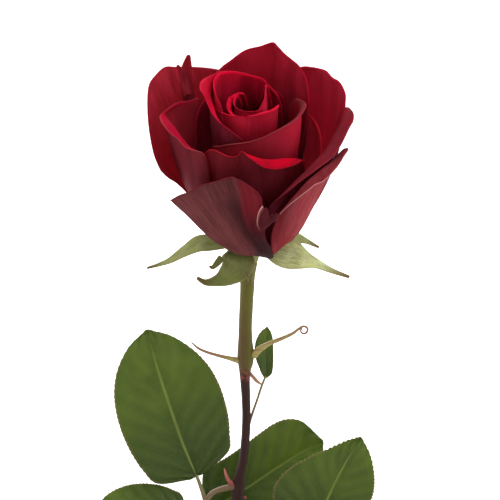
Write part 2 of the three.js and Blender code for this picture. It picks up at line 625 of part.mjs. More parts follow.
// Sepals, in the bloom's frame: route, the way the upper side looks at root and tip, half-width.
const SEPALS = [
  {
    route: [[-7.6, 0, -1.7], [-13.2, 0, -1.8], [-17.2, 0, -2.2], [-21.5, 0, -4.8], [-26.5, 0, -8.3],
      [-30.5, 0, -10],
      [-34, 0, -11.2]],
    face: [-0.2, -0.4, 1], faceEnd: [0, -0.6, 1], half: 4.6,
  },
  {
    route: [[-3.4, -6.6, -1.7], [-3.6, -9.8, -2.4], [-4.4, -10.9, -4.8], [-6, -11, -7.4],
      [-8.8, -11, -9.6],
      [-12, -11.2, -10.4], [-14.8, -11.6, -10.2], [-17.2, -12, -8.4]],
    face: [0.1, -0.5, 1], faceEnd: [0.4, -1, 0.5], half: 5.8,
  },
  {
    route: [[6.8, -3.4, -1.5], [11.1, -6.5, -1.9], [14.4, -8, -2.4], [17.7, -8.6, -3.4],
      [21.6, -8.6, -4.8],
      [26.3, -8.2, -7.5], [32.6, -8, -10.2]],
    face: [0.1, -0.8, 1], faceEnd: [0.1, -0.7, 1], half: 5.4,
  },
  {
    route: [[5.6, 4.9, -1.5], [9.5, 7.6, -2.6], [13.3, 9, -4.2], [17, 10, -5.6], [19.7, 10.5, -7.1],
      [23, 11, -9.2]],
    face: [0.3, 0.3, 1], faceEnd: [0.2, 0, 1], half: 3.4,
  },
  {
    route: [[-2.6, 7.1, -1.5], [-4.4, 12, -2.2], [-6, 17, -4.6], [-7.4, 21, -7.4], [-8.4, 25, -9.4]],
    face: [0, 0.2, 1], faceEnd: [0, 0, 1], half: 4.8,
  },
];
const SEPAL_OUTLINE = [[0.7], [1], [0.96], [0.66], [0.36], [0.2], [0.08]];

function makeSepal({ route, face, faceEnd, half }) {
  const placed = route.map(inBloom);
  const width = (t) => half * readCurve(SEPAL_OUTLINE, t)[0];
  const sides = { face: turnedToBloom(face), faceEnd: turnedToBloom(faceEnd), left: width, fold: 0.16 };
  return ribbon({ route: placed, ...sides }, 4, 9, LEAF_THICKNESS);
}

function makeCalyx() {
  const hip = turned(HIP_PROFILE, 20).transform(bloomFrame.toArray());
  return fuse([hip, ...SEPALS.map(makeSepal)]);
}

// The narrow rolled petal that stands between the left outer petal and the left one, in the bloom's
// frame.
const PETALOID_ROUTE = [[-6.1, 4.0, 1.5], [-8.8, 6.1, 3.2], [-11.9, 8.3, 7.2], [-15.7, 11.1, 16],
  [-18.6, 13.6, 27],
  [-19.8, 15, 38], [-20.2, 15.8, 45], [-20.7, 16, 53.5], [-19.9, 15, 59.2]];
const PETALOID_HALF_WIDTH = [[1], [1.1], [1.2], [1.3], [1.4], [1.5], [1.5], [1.4], [0.5]];

function makePetaloid() {
  const width = (t) => readCurve(PETALOID_HALF_WIDTH, t)[0];
  const face = turnedToBloom([0.55, -0.8, 0.2]);
  return ribbon({ route: PETALOID_ROUTE.map(inBloom), face, left: width, fold: 0.5 }, 2, 16,
  PETAL_THICKNESS);
}

// ---- Compound leaves ----
// The half-width of a leaflet along it, as a share of its widest.
const LEAFLET_OUTLINE = [[0.16], [0.72], [0.87], [0.95], [0.99], [1], [0.97], [0.89], [0.73], [0.43],
  [0.03]];
const LEAFLET_ROWS = 13;

function leaflet({ route, face, faceEnd, left, right, fold = 0.14 }) {
  const share = (t) => readCurve(LEAFLET_OUTLINE, t)[0];
  const sides = { left: (t) => left * share(t), right: (t) => right * share(t) };
  return ribbon({ route, face, faceEnd, ...sides, fold }, 4, LEAFLET_ROWS, LEAF_THICKNESS);
}

const LEFT_LEAF = {
  stalk: [[3.3, -3.2, 180.1, 1.05], [1.2, -3.5, 179.7, 1], [-2.2, -4.5, 178.4, 0.9], [-4.6, -6, 175, 0.9],
    [-6.4, -9, 169.6, 0.85], [-8.4, -15, 163.6, 0.8], [-11, -23, 157.6, 0.8], [-15, -33, 151.6, 0.7]],
  twigs: [
    [[-4.4, -5.6, 175.8, 0.8], [-5.4, -5.4, 179.4, 0.7], [-7.3, -5, 184.8, 0.6]],
    [[-4.4, -5.6, 175.8, 0.8], [-4, 0, 173.6, 0.7], [-3.2, 3.2, 170.6, 0.6]],
    [[-6.2, -8.6, 170.2, 0.8], [-8, -9, 169.6, 0.7], [-10.4, -9.4, 169.3, 0.6]],
    [[-6.2, -8.6, 170.2, 0.8], [-3.2, -12, 169, 0.7], [-0.4, -15, 167.6, 0.6]],
  ],
  leaflets: [
    {
      route: [[-7.3, -5, 184.6], [-11.9, -7, 196.7], [-16, -6.2, 208.8], [-20.2, -2.6, 221],
        [-23.9, 2.5, 233.3]],
      face: [0.1, -1, 0.2], faceEnd: [0, -1, 0.4], left: 17.8, right: 17.8,
    },
    {
      route: [[-3.2, 3.4, 170.4], [8.2, 6, 175.2], [19, 8, 181], [29.2, 9.5, 186], [38.6, 10.5, 189.4]],
      face: [0.1, -1, 0.2], left: 12.8, right: 13,
    },
    {
      route: [[-10.2, -9.4, 169.2], [-17.6, -10.4, 170], [-26, -10.5, 170.4], [-34.6, -9.5, 169.6],
        [-42.6, -8, 167.4]],
      face: [0, -0.9, 0.5], left: 14, right: 12.6,
    },
    {
      route: [[-0.6, -14.8, 167.6], [5, -24, 165], [9, -34, 160], [12, -44, 153], [14, -53, 145]],
      face: [0.1, -0.2, 1], left: 13, right: 13,
    },
    {
      route: [[-14.8, -32.6, 151.8], [-19, -44, 149], [-23, -55, 144], [-26, -66, 137], [-28, -76, 129]],
      face: [-0.1, -0.2, 1], left: 16, right: 16,
    },
  ],
};

const RIGHT_LEAF = {
  stalk: [[9.1, -3.2, 170.4, 1.1], [14, -6, 169.4, 1], [20, -9.6, 167, 0.9], [26, -13, 163.6, 0.85],
    [33, -17, 159, 0.8], [41, -21, 154, 0.7]],
  twigs: [
    [[26, -13, 163.6, 0.8], [27.2, -12.9, 163.4, 0.7], [29, -13, 163.8, 0.6]],
    [[26, -13, 163.6, 0.8], [25.6, -15.6, 161.8, 0.7], [25, -18.4, 160, 0.6]],
  ],
  leaflets: [
    {
      route: [[29, -13, 163.4], [34, -12.5, 173.1], [38.3, -11, 182.7], [42.6, -9.5, 190.9],
        [47.6, -8.5, 199]],
      face: [0.1, -1, 0.3], faceEnd: [0.1, -1, 0.5], left: 13.8, right: 12.4,
    },
    {
      route: [[25.1, -18, 160.2], [24, -28, 157], [23, -38, 151], [22.6, -47, 144], [22.6, -55, 136]],
      face: [-0.1, -0.3, 1], left: 13.6, right: 13.6,
    },
    {
      route: [[40.6, -20.8, 154.2], [50, -26, 152.4], [60, -31, 149], [69, -35, 144], [77, -38, 138]],
      face: [0.2, -0.3, 1], left: 15.6, right: 15.6,
    },
  ],
};

const makeLeaf = ({ stalk, twigs, leaflets }) =>
  fuse([rod(stalk, 9, 6), ...twigs.map((twig) => rod(twig, 2, 6)), ...leaflets.map(leaflet)]);

// ---- Bracts at the upper node, and the small simple leaf behind the stem ----
const LEFT_BRACT = [[5.6, -2.4, 224.9, 0.75], [1.3, -3, 225.7, 0.55], [-3.4, -3.4, 227.2, 0.5],
  [-6.4, -3.6, 228.2, 0.45],
  [-8.8, -3.8, 230.5, 0.3]];
const RIGHT_BRACT = [[12.6, -2.8, 226.6, 1.3], [14.8, -3.2, 228.2, 1.05], [17.9, -3.4, 230.6, 0.8],
  [21.9, -3.6, 232.9, 0.65],
  [25.2, -3.8, 235.1, 0.5], [27.2, -4, 236.5, 0.45], [28.7, -4, 236.8, 0.4], [29.8, -4, 235.7, 0.4],
  [29.4, -4, 234.2, 0.35], [28.3, -4, 233.8, 0.35], [27.5, -4, 234.6, 0.3]];
const LOWER_BRACT = [[11.3, -2.8, 218.8, 0.55], [12.9, -3.6, 217.2, 0.6], [14.2, -4, 216.3, 0.35]];

function makeSmallLeaf() {
  const twig = rod([[11.6, -2.0, 206.2, 0.45], [13, -0.8, 210, 0.42], [14.6, 0.8, 214.6, 0.42],
    [15.5, 1.6, 217.6, 0.4]], 4, 6);
  const small = leaflet({
    route: [[15.5, 1.5, 217.2], [15.9, 2.6, 222], [16, 3, 226.6], [16.4, 3.6, 230.6], [16.6, 4, 233.6]],
    face: [0.5, -1, 0.1], left: 3.4, right: 3.4,
  });
  return twig.add(small);
}

// ---- Assembly ----
const finish = (color, roughness, extra = {}) => new THREE.MeshStandardMaterial({ color, roughness,
  ...extra });
const RED = finish(0x8e0a1c, 0.55);
const DEEP_RED = finish(0x6c0814, 0.55);
const STEM_GREEN = finish(0x5d5a30, 0.5);
const SEPAL_GREEN = finish(0x7d9450, 0.6);
const LEAF_GREEN = finish(0x35571f, 0.4);
const GLASS = finish(0xdfe9ea, 0.05, { transparent: true, opacity: 0.35 });
const WATER = finish(0xcfe0e2, 0.05, { transparent: true, opacity: 0.3 });

const rose = new THREE.Group();
function place(name, solid, material) {
  const mesh = new THREE.Mesh(toGeometry(solid), material);
  mesh.name = name;
  rose.add(mesh);
}

place("vase", makeVase(), GLASS);
place("water", makeWater(), WATER);
place("stem", makeStem(), STEM_GREEN);
place("calyx", makeCalyx(), SEPAL_GREEN);
for (const petal of PETALS) place(petal.name, makePetal(petal, petal.rim.length), RED);
place("heart", makeHeart(), DEEP_RED);
place("petaloid", makePetaloid(), RED);
place("leaf_left", makeLeaf(LEFT_LEAF), LEAF_GREEN);
place("leaf_right", makeLeaf(RIGHT_LEAF), LEAF_GREEN);
place("bract_left", rod(LEFT_BRACT, 8, 6), SEPAL_GREEN);
place("bract_right", rod(RIGHT_BRACT, 16, 6), SEPAL_GREEN);
place("bract_lower", rod(LOWER_BRACT, 4, 6), STEM_GREEN);
place("leaf_small", makeSmallLeaf(), LEAF_GREEN);

export default rose;
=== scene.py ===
# %% [markdown]
# # A rose in a bud vase
# A cut red rose stands in a small clear vase of water. The imported solids give every place and size in
# metres, and this lesson dresses them: petals with veins and rolled lips, leaves with teeth, glass and water.
# The solids are loaded first.

import bpy
import numpy as np
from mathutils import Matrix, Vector


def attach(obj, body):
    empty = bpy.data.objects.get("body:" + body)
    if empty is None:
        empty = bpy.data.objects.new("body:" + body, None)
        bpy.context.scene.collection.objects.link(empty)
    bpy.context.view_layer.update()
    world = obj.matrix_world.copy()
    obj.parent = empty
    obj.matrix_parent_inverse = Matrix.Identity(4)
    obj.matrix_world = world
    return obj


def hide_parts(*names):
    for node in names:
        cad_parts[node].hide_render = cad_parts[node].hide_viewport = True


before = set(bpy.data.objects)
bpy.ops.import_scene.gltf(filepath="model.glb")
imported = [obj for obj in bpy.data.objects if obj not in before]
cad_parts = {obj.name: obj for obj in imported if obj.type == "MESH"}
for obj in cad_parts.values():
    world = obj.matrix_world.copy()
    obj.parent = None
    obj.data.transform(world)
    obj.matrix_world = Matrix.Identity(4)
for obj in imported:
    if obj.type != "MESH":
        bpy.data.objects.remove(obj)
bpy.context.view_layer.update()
MM = 0.001  # the tables below are in millimetres, Blender is in metres
print("nodes:", ", ".join(sorted(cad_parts)))

# %% [markdown]
# ## The camera
# The rose was seen from a little above the bloom, with a long lens from about a metre away, so its lines
# hardly converge. An aim point, a distance and an elevation say that more plainly than a matrix would.

# %% The camera
AIM = Vector((10.6, -4, 262)) * MM
CAMERA_DISTANCE = 0.9
CAMERA_ELEVATION = np.radians(12)
FRAME_WIDTH = 0.165  # width of what is seen at the aim point

camera = bpy.data.objects.new("camera", bpy.data.cameras.new("camera"))
bpy.context.scene.collection.objects.link(camera)
bpy.context.scene.camera = camera
backwards = Vector((0, -np.cos(CAMERA_ELEVATION), np.sin(CAMERA_ELEVATION)))
camera.location = AIM + backwards * CAMERA_DISTANCE
camera.rotation_euler = (-backwards).to_track_quat("-Z", "Y").to_euler()
camera.data.lens = camera.data.sensor_width * CAMERA_DISTANCE / FRAME_WIDTH
camera.data.clip_end = 50
print(f"lens {camera.data.lens:.0f} mm at {CAMERA_DISTANCE} m")

# %% [markdown]
# ## Writing materials as sums
# A material is a graph of nodes. Two small classes keep it readable: a Link is an output socket that can
# be added, multiplied or raised to a power, and each such sum adds one Math node. A Graph makes every
# other kind of node through one method, which sets the node's own settings first and its sockets after.
# A Finish is the graph of a material, and the recipes further down are graphs that grow geometry.

# %% A small language for materials
class Link:
    """An output socket of a node; sums written with it add Math nodes to the same tree."""

    def __init__(self, graph, socket):
        self.graph, self.socket = graph, socket

    def maths(self, operation, *values):
        inputs = dict(enumerate(values))
        return self.graph.node("ShaderNodeMath", {"operation": operation}, inputs)

    def __add__(self, other):
        return self.maths("ADD", self, other)

    def __sub__(self, other):
        return self.maths("SUBTRACT", self, other)

    def __rsub__(self, other):
        return self.maths("SUBTRACT", other, self)

    def __mul__(self, other):
        return self.maths("MULTIPLY", self, other)

    def __truediv__(self, other):
        return self.maths("DIVIDE", self, other)

    def __pow__(self, other):
        return self.maths("POWER", self, other)

    def __abs__(self):
        return self.maths("ABSOLUTE", self)

    __radd__ = __add__
    __rmul__ = __mul__

    def between(self, low, high):
        """0 below low, 1 above high, and a smooth step from one to the other."""
        inputs = {"Value": self, "From Min": low, "From Max": high}
        return self.graph.node("ShaderNodeMapRange", {"interpolation_type": "SMOOTHSTEP"}, inputs)


class Graph:
    """A tree of nodes that is being built; every node but a Math node comes from node()."""

    def node(self, kind, settings=None, inputs=None, output=0):
        node = self.tree.nodes.new(kind)
        for key, value in (settings or {}).items():
            setattr(node, key, value)
        for key, value in (inputs or {}).items():
            if isinstance(value, Link):
                self.tree.links.new(value.socket, node.inputs[key])
            else:
                node.inputs[key].default_value = value
        return Link(self, node.outputs[output]) if node.outputs else None

    def part(self, vector, axis):
        return self.node("ShaderNodeSeparateXYZ", {}, {0: vector}, axis)

    def at(self, x, y, z):
        return self.node("ShaderNodeCombineXYZ", {}, {"X": x, "Y": y, "Z": z})


class Finish(Graph):
    """A material that is being built."""

    def __init__(self, name):
        self.material = bpy.data.materials.new(name)
        self.material.use_nodes = True
        self.tree = self.material.node_tree
        self.tree.nodes.clear()

    def attribute(self, name):
        return self.node("ShaderNodeAttribute", {"attribute_name": name}, output="Fac")

    def place(self):
        return self.node("ShaderNodeTexCoord", output="Object")

    def noise(self, scale, detail=2.0, vector=None, roughness=0.5):
        inputs = {"Scale": scale, "Detail": detail, "Roughness": roughness}
        return self.node("ShaderNodeTexNoise", {}, {"Vector": vector or self.place(), **inputs})

    def mix(self, share, first, second):
        inputs = {0: share, 6: first, 7: second}
        return self.node("ShaderNodeMix", {"data_type": "RGBA"}, inputs, output=2)

    def bump(self, height, strength, distance):
        inputs = {"Height": height, "Strength": strength, "Distance": distance}
        return self.node("ShaderNodeBump", {}, inputs)

    def fine_lines(self, x, y, z, sharpness):
        """1 along thin lines and 0 beside them: noise at a place of its own, folded at its middle value."""
        fibre = self.noise(1.0, 4.0, self.at(x, y, z), 0.6)
        return (1 - abs(fibre * 2 - 1)) ** sharpness

    def skin(self, inputs):
        return self.node("ShaderNodeBsdfPrincipled", {}, inputs)

    def backlit(self, share, skin, inputs):
        """A skin through which a share of the light behind it shines."""
        behind = self.node("ShaderNodeBsdfTranslucent", {}, inputs)
        return self.node("ShaderNodeMixShader", {}, {0: share, 1: skin, 2: behind})

    def surface(self, shader):
        self.node("ShaderNodeOutputMaterial", {}, {"Surface": shader})
        return self.material


def colour(red, green, blue):
    return (red, green, blue, 1.0)


print("materials are written with Link and Finish")

# %% [markdown]
# ## A pale studio
# The rose was lit softly, in front of plain white: light came from all round, a little more of it from
# behind. A white world whose gradient is a touch dimmer in front gives that. A wide floor carries the vase,
# and four weak soft boxes add a direction, one of them behind the petals so that their rims glow.

# %% Floor, world and soft boxes
FLOOR_SIZE = 16.0
studio = bpy.context.scene
studio.view_settings.view_transform = "Standard"
world = bpy.data.worlds.new("white_room")
studio.world = world
world.use_nodes = True
FRONT_LIGHT, BACK_LIGHT = 0.9, 1.0
sky = Graph()
sky.tree = world.node_tree
backwardness = sky.part(sky.node("ShaderNodeTexCoord", output="Generated"), "Y")
strength = sky.node("ShaderNodeMapRange", {}, {
    "Value": backwardness, "From Min": -0.8, "From Max": 0.6, "To Min": FRONT_LIGHT, "To Max": BACK_LIGHT})
background = sky.tree.nodes["Background"]
background.inputs["Color"].default_value = colour(1, 1, 1)
sky.tree.links.new(strength.socket, background.inputs["Strength"])

paper = Finish("pale_floor")
grain = paper.noise(40, 3)
depth = paper.part(paper.place(), "Y")
paper_white = paper.mix(grain, colour(0.74, 0.74, 0.74), colour(0.76, 0.76, 0.76))
# The floor glows, not at all in front and fully from 0.9 m behind the vase: a painted glow that keeps the
# backdrop white.
lit_paper = paper.mix(depth.between(0.1, 0.9), colour(0, 0, 0), colour(1, 1, 1))
floor_shader = paper.skin({
    "Base Color": paper_white, "Roughness": 0.8, "Emission Color": lit_paper, "Emission Strength": 0.6})
floor_corners = [(x * FLOOR_SIZE / 2, y * FLOOR_SIZE / 2, 0) for x, y in ((-1, -1), (1, -1), (1, 1), (-1, 1))]
floor_mesh = bpy.data.meshes.new("floor")
floor_mesh.from_pydata(floor_corners, [], [(0, 1, 2, 3)])
floor_mesh.materials.append(paper.surface(floor_shader))
floor = bpy.data.objects.new("floor", floor_mesh)
studio.collection.objects.link(floor)


def soft_box(name, place, size, power):
    """A square area light at a place in metres, aimed at the bloom."""
    light = bpy.data.objects.new(name, bpy.data.lights.new(name, "AREA"))
    light.data.size = size
    light.data.energy = power
    light.location = place
    light.rotation_euler = (AIM - Vector(place)).to_track_quat("-Z", "Y").to_euler()
    studio.collection.objects.link(light)


soft_box("box_behind", (-0.5, 1.2, 1.3), 1.1, 25)
soft_box("box_left", (-1.3, -0.1, 0.6), 0.7, 8)
soft_box("box_above", (0.15, -0.1, 1.7), 0.8, 12)
soft_box("box_right", (1.2, -0.25, 0.75), 0.7, 8)

# %% [markdown]
# ## Curves, sheets and rods
# Nearly everything on a rose is a thin sheet or a tapering rod. A table of a few rows is read as a smooth
# curve, so a petal's rim is drawn with a dozen numbers. Petals and leaves could be flat planes with
# Solidify, but building both faces by hand lets each corner carry values that the materials read: how far
# across and along the sheet it is, and which face it is on.

# %% Curves and vectors
def read_curve(rows, t):
    """Rows read off a smooth curve through the rows of a short table, at each t in 0..1."""
    rows = np.array([np.atleast_1d(row) for row in rows], float)
    x = np.clip(np.asarray(t, float), 0, 1) * (len(rows) - 1)
    i = np.minimum(x.astype(int), len(rows) - 2)
    f = (x - i)[..., None]
    a, b, d, e = (rows[np.clip(i + k, 0, len(rows) - 1)] for k in (-1, 0, 1, 2))
    return (b * (2 * f**3 - 3 * f**2 + 1) + (d - a) / 2 * (f**3 - 2 * f**2 + f)
            + d * (3 * f**2 - 2 * f**3) + (e - b) / 2 * (f**3 - f**2))


def unit(v):
    return v / np.maximum(np.linalg.norm(v, axis=-1, keepdims=True), 1e-12)


def smooth_step(x, low, high):
    f = np.clip((x - low) / (high - low), 0, 1)
    return f * f * (3 - 2 * f)


def ripple(seed, *coordinates):
    """A smooth random wave between -1 and 1: a few sines whose turns come from a seeded draw."""
    draw = np.random.default_rng(seed)
    total = 0
    for _ in range(5):
        turns = sum(c * draw.uniform(-1, 1) for c in coordinates)
        total = total + np.sin(2 * np.pi * (turns + draw.uniform()))
    return total / 5


# %% Sheets: both faces and a rounded edge
EDGE_REACH = 0.9  # how far a rounded edge stands out, as a share of half the thickness
ROUTE_STEP = 0.01  # how far ahead and behind a route is looked at to find its direction


def sheet_mesh(middle, thickness, **values):
    """A closed thin sheet round a grid of points, as (corners, faces, values for each corner)."""
    rows, columns = middle.shape[:2]
    over = np.gradient(middle, axis=1)
    up = np.gradient(middle, axis=0)
    normal = unit(np.cross(over, up))
    half = np.broadcast_to(np.asarray(thickness, float) / 2, (rows, columns))[..., None]
    front = middle + normal * half
    back = middle - normal * half
    index = np.arange(rows * columns).reshape(rows, columns)
    loop = np.concatenate([index[0, :-1], index[:-1, -1], index[-1, :0:-1], index[:0:-1, 0]])
    flat = middle.reshape(-1, 3)
    inwards = np.empty_like(middle)
    inwards[:] = middle
    inwards[0], inwards[-1] = middle[1], middle[-2]
    inwards[:, 0] += middle[:, 1] - middle[:, 0]
    inwards[:, -1] += middle[:, -2] - middle[:, -1]
    outwards = unit(flat - inwards.reshape(-1, 3))[loop]
    rim = flat[loop] + outwards * half.reshape(-1, 1)[loop] * EDGE_REACH
    corners = np.concatenate([front.reshape(-1, 3), back.reshape(-1, 3), rim])
    count = rows * columns
    a, b, c, d = index[:-1, :-1], index[:-1, 1:], index[1:, 1:], index[1:, :-1]
    faces = [np.stack([a, b, c, d], -1).reshape(-1, 4),
             np.stack([a, d, c, b], -1).reshape(-1, 4) + count]
    ring = 2 * count + np.arange(len(loop))
    after, ring_after = np.roll(loop, -1), np.roll(ring, -1)
    faces.append(np.stack([after, loop, ring, ring_after], -1))
    faces.append(np.stack([ring_after, ring, loop + count, after + count], -1))
    side = np.concatenate([np.zeros(count), np.ones(count), np.full(len(loop), 0.5)])
    kept = {"side": side}
    for name, value in values.items():
        value = np.broadcast_to(value, (rows, columns)).reshape(-1)
        kept[name] = np.concatenate([value, value, value[loop]])
    return corners, np.concatenate(faces).tolist(), kept


def ribbon(route, face, left, right, columns, rows, fold, face_end=None, shape=None):
    """The grid of a blade along a route. face is the way its upper side looks, left and right its
    half-widths, fold how far both edges are lifted, and shape(across, along, half) moves it in and out."""
    t = np.linspace(0, 1, rows + 1)
    here = read_curve(route, t)
    ahead, behind = np.minimum(t + ROUTE_STEP, 1), np.maximum(t - ROUTE_STEP, 0)
    forward = unit(read_curve(route, ahead) - read_curve(route, behind))
    start, end = np.array(face, float), np.array(face_end or face, float)
    up = unit(start + (end - start) * t[:, None])
    sideways = unit(np.cross(forward, up))
    normal = np.cross(sideways, forward)
    reach = np.linspace(-1, 1, columns + 1)
    half = np.where(reach < 0, left(t)[:, None], right(t)[:, None])
    lift = fold * half * np.abs(reach)
    if shape is not None:
        lift = lift + shape(reach[None, :], t[:, None], half)
    out, away = (half * reach)[..., None], lift[..., None]
    return here[:, None] + sideways[:, None] * out + normal[:, None] * away, reach, t


# %% Rods and the object maker
CAP_LENGTH = 0.7  # length of a rod's rounded end, as a share of its radius
CAP_RINGS = (0.45, 0.8)  # where its rings lie between the rod's last ring and its tip
FIRST_SIDE = (0.31, 0.95, 0.05)  # a direction that no rod runs in


def rod_mesh(route, steps, sides, shape=None):
    """A tapering rod along rows of x, y, z and radius, with rounded ends. shape(turn, t) scales it."""
    t = np.linspace(0, 1, steps + 1)
    rings = read_curve(route, t)
    centre, radius = rings[:, :3], rings[:, 3]
    along = unit(np.gradient(centre, axis=0))
    first = np.empty_like(centre)
    aside = np.array(FIRST_SIDE)
    for k, direction in enumerate(along):
        aside = unit(aside - direction * (aside @ direction))
        first[k] = aside
    second = np.cross(along, first)
    turn = np.linspace(0, 2 * np.pi, sides, endpoint=False)
    reach = radius[:, None] * (np.ones((1, sides)) if shape is None else shape(turn[None, :], t[:, None]))
    body = (centre[:, None] + first[:, None] * (reach * np.cos(turn))[..., None]
            + second[:, None] * (reach * np.sin(turn))[..., None])
    corners = [body.reshape(-1, 3)]
    index = np.arange((steps + 1) * sides).reshape(steps + 1, sides)
    nxt = np.roll(index, -1, axis=1)
    faces = np.stack([index[:-1], nxt[:-1], nxt[1:], index[1:]], -1).reshape(-1, 4).tolist()
    values = [np.repeat(t, sides)]
    total = (steps + 1) * sides
    for ring, direction in ((0, -1), (steps, 1)):
        last = index[ring]
        for share in CAP_RINGS:
            shrink = np.sqrt(1 - share**2)
            moved = centre[ring] + (body[ring] - centre[ring]) * shrink
            moved = moved + along[ring] * direction * radius[ring] * share * CAP_LENGTH
            corners.append(moved)
            values.append(np.full(sides, t[ring]))
            fresh = total + np.arange(sides)
            total += sides
            pair = (last, fresh) if direction > 0 else (fresh, last)
            faces += np.stack([pair[0], np.roll(pair[0], -1), np.roll(pair[1], -1), pair[1]], -1).tolist()
            last = fresh
        tip = centre[ring] + along[ring] * direction * radius[ring] * CAP_LENGTH
        corners.append(tip[None])
        values.append(np.array([t[ring]]))
        for k in range(sides):
            pair = (last[k], last[(k + 1) % sides])
            faces.append([*(pair if direction > 0 else pair[::-1]), total])
        total += 1
    return np.concatenate(corners), faces, {"along": np.concatenate(values)}


def finished_piece(name, mesh, replaced=()):
    """The object that carries a mesh; replaced names the solids that it dresses."""
    piece = bpy.data.objects.new(name, mesh)
    studio.collection.objects.link(piece)
    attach(piece, "root")
    if replaced:
        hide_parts(*replaced)
    print(f"{name}: {len(mesh.polygons)} faces")


def make_piece(name, parts, materials, replaced):
    """One object from meshes in millimetres, each with the number of its material."""
    corners, faces, slots, values, total = [], [], [], {}, 0
    for points, polygons, carried, material in parts:
        corners.append(points * MM)
        faces += [[corner + total for corner in polygon] for polygon in polygons]
        slots += [material] * len(polygons)
        for key, value in carried.items():
            values.setdefault(key, []).append((total, value))
        total += len(points)
    mesh = bpy.data.meshes.new(name)
    mesh.from_pydata(np.concatenate(corners), [], faces)
    for material in materials:
        mesh.materials.append(material)
    mesh.polygons.foreach_set("material_index", slots)
    mesh.polygons.foreach_set("use_smooth", [True] * len(faces))
    for key, runs in values.items():
        whole = np.zeros(total, np.float32)
        for start, value in runs:
            whole[start:start + len(value)] = value
        mesh.attributes.new(key, "FLOAT", "POINT").data.foreach_set("value", whole)
    mesh.update()
    finished_piece(name, mesh, replaced)


def with_material(part, number=0):
    return (*part, number)


# %% [markdown]
# ## The bloom's own frame
# The bloom nods sixteen degrees towards the front. Petals are easier to draw round an upright axis, in
# cylinder coordinates, so they are made in a frame whose origin is where their claws meet, and then moved.

# %% The bloom's frame
BLOOM_BASE = np.array([10.6, -4, 266])
BLOOM_TILT = np.radians(16)
TILT = np.array([[1, 0, 0], [0, np.cos(BLOOM_TILT), -np.sin(BLOOM_TILT)],
                 [0, np.sin(BLOOM_TILT), np.cos(BLOOM_TILT)]])


def in_bloom(points):
    return np.asarray(points, float) @ TILT.T + BLOOM_BASE


def turned_to_bloom(direction):
    return (np.asarray(direction, float) @ TILT.T).tolist()


# %% [markdown]
# ## Petal shapes
# A petal runs from a narrow claw on the hip up to its rim, and its lip rolls outwards. Each row of rim is
# azimuth, radius, height and lip length, and a row without a length has the shortest lip. The profile between
# claw and rim is one cubic bend: reach and rise place its first handle and waist and hip its second. The
# petals overlap in the order in which a rose packs them, the outermost first.
#
# Three broad outer petals spread too wide for one bend. They have left and right margins instead, and the
# blade is stretched between the margins and the rim: power says how late it takes on the rim's shape, and
# belly how far its middle is lifted. A fold is a crease: its place at the rim, at the claw, and its height.

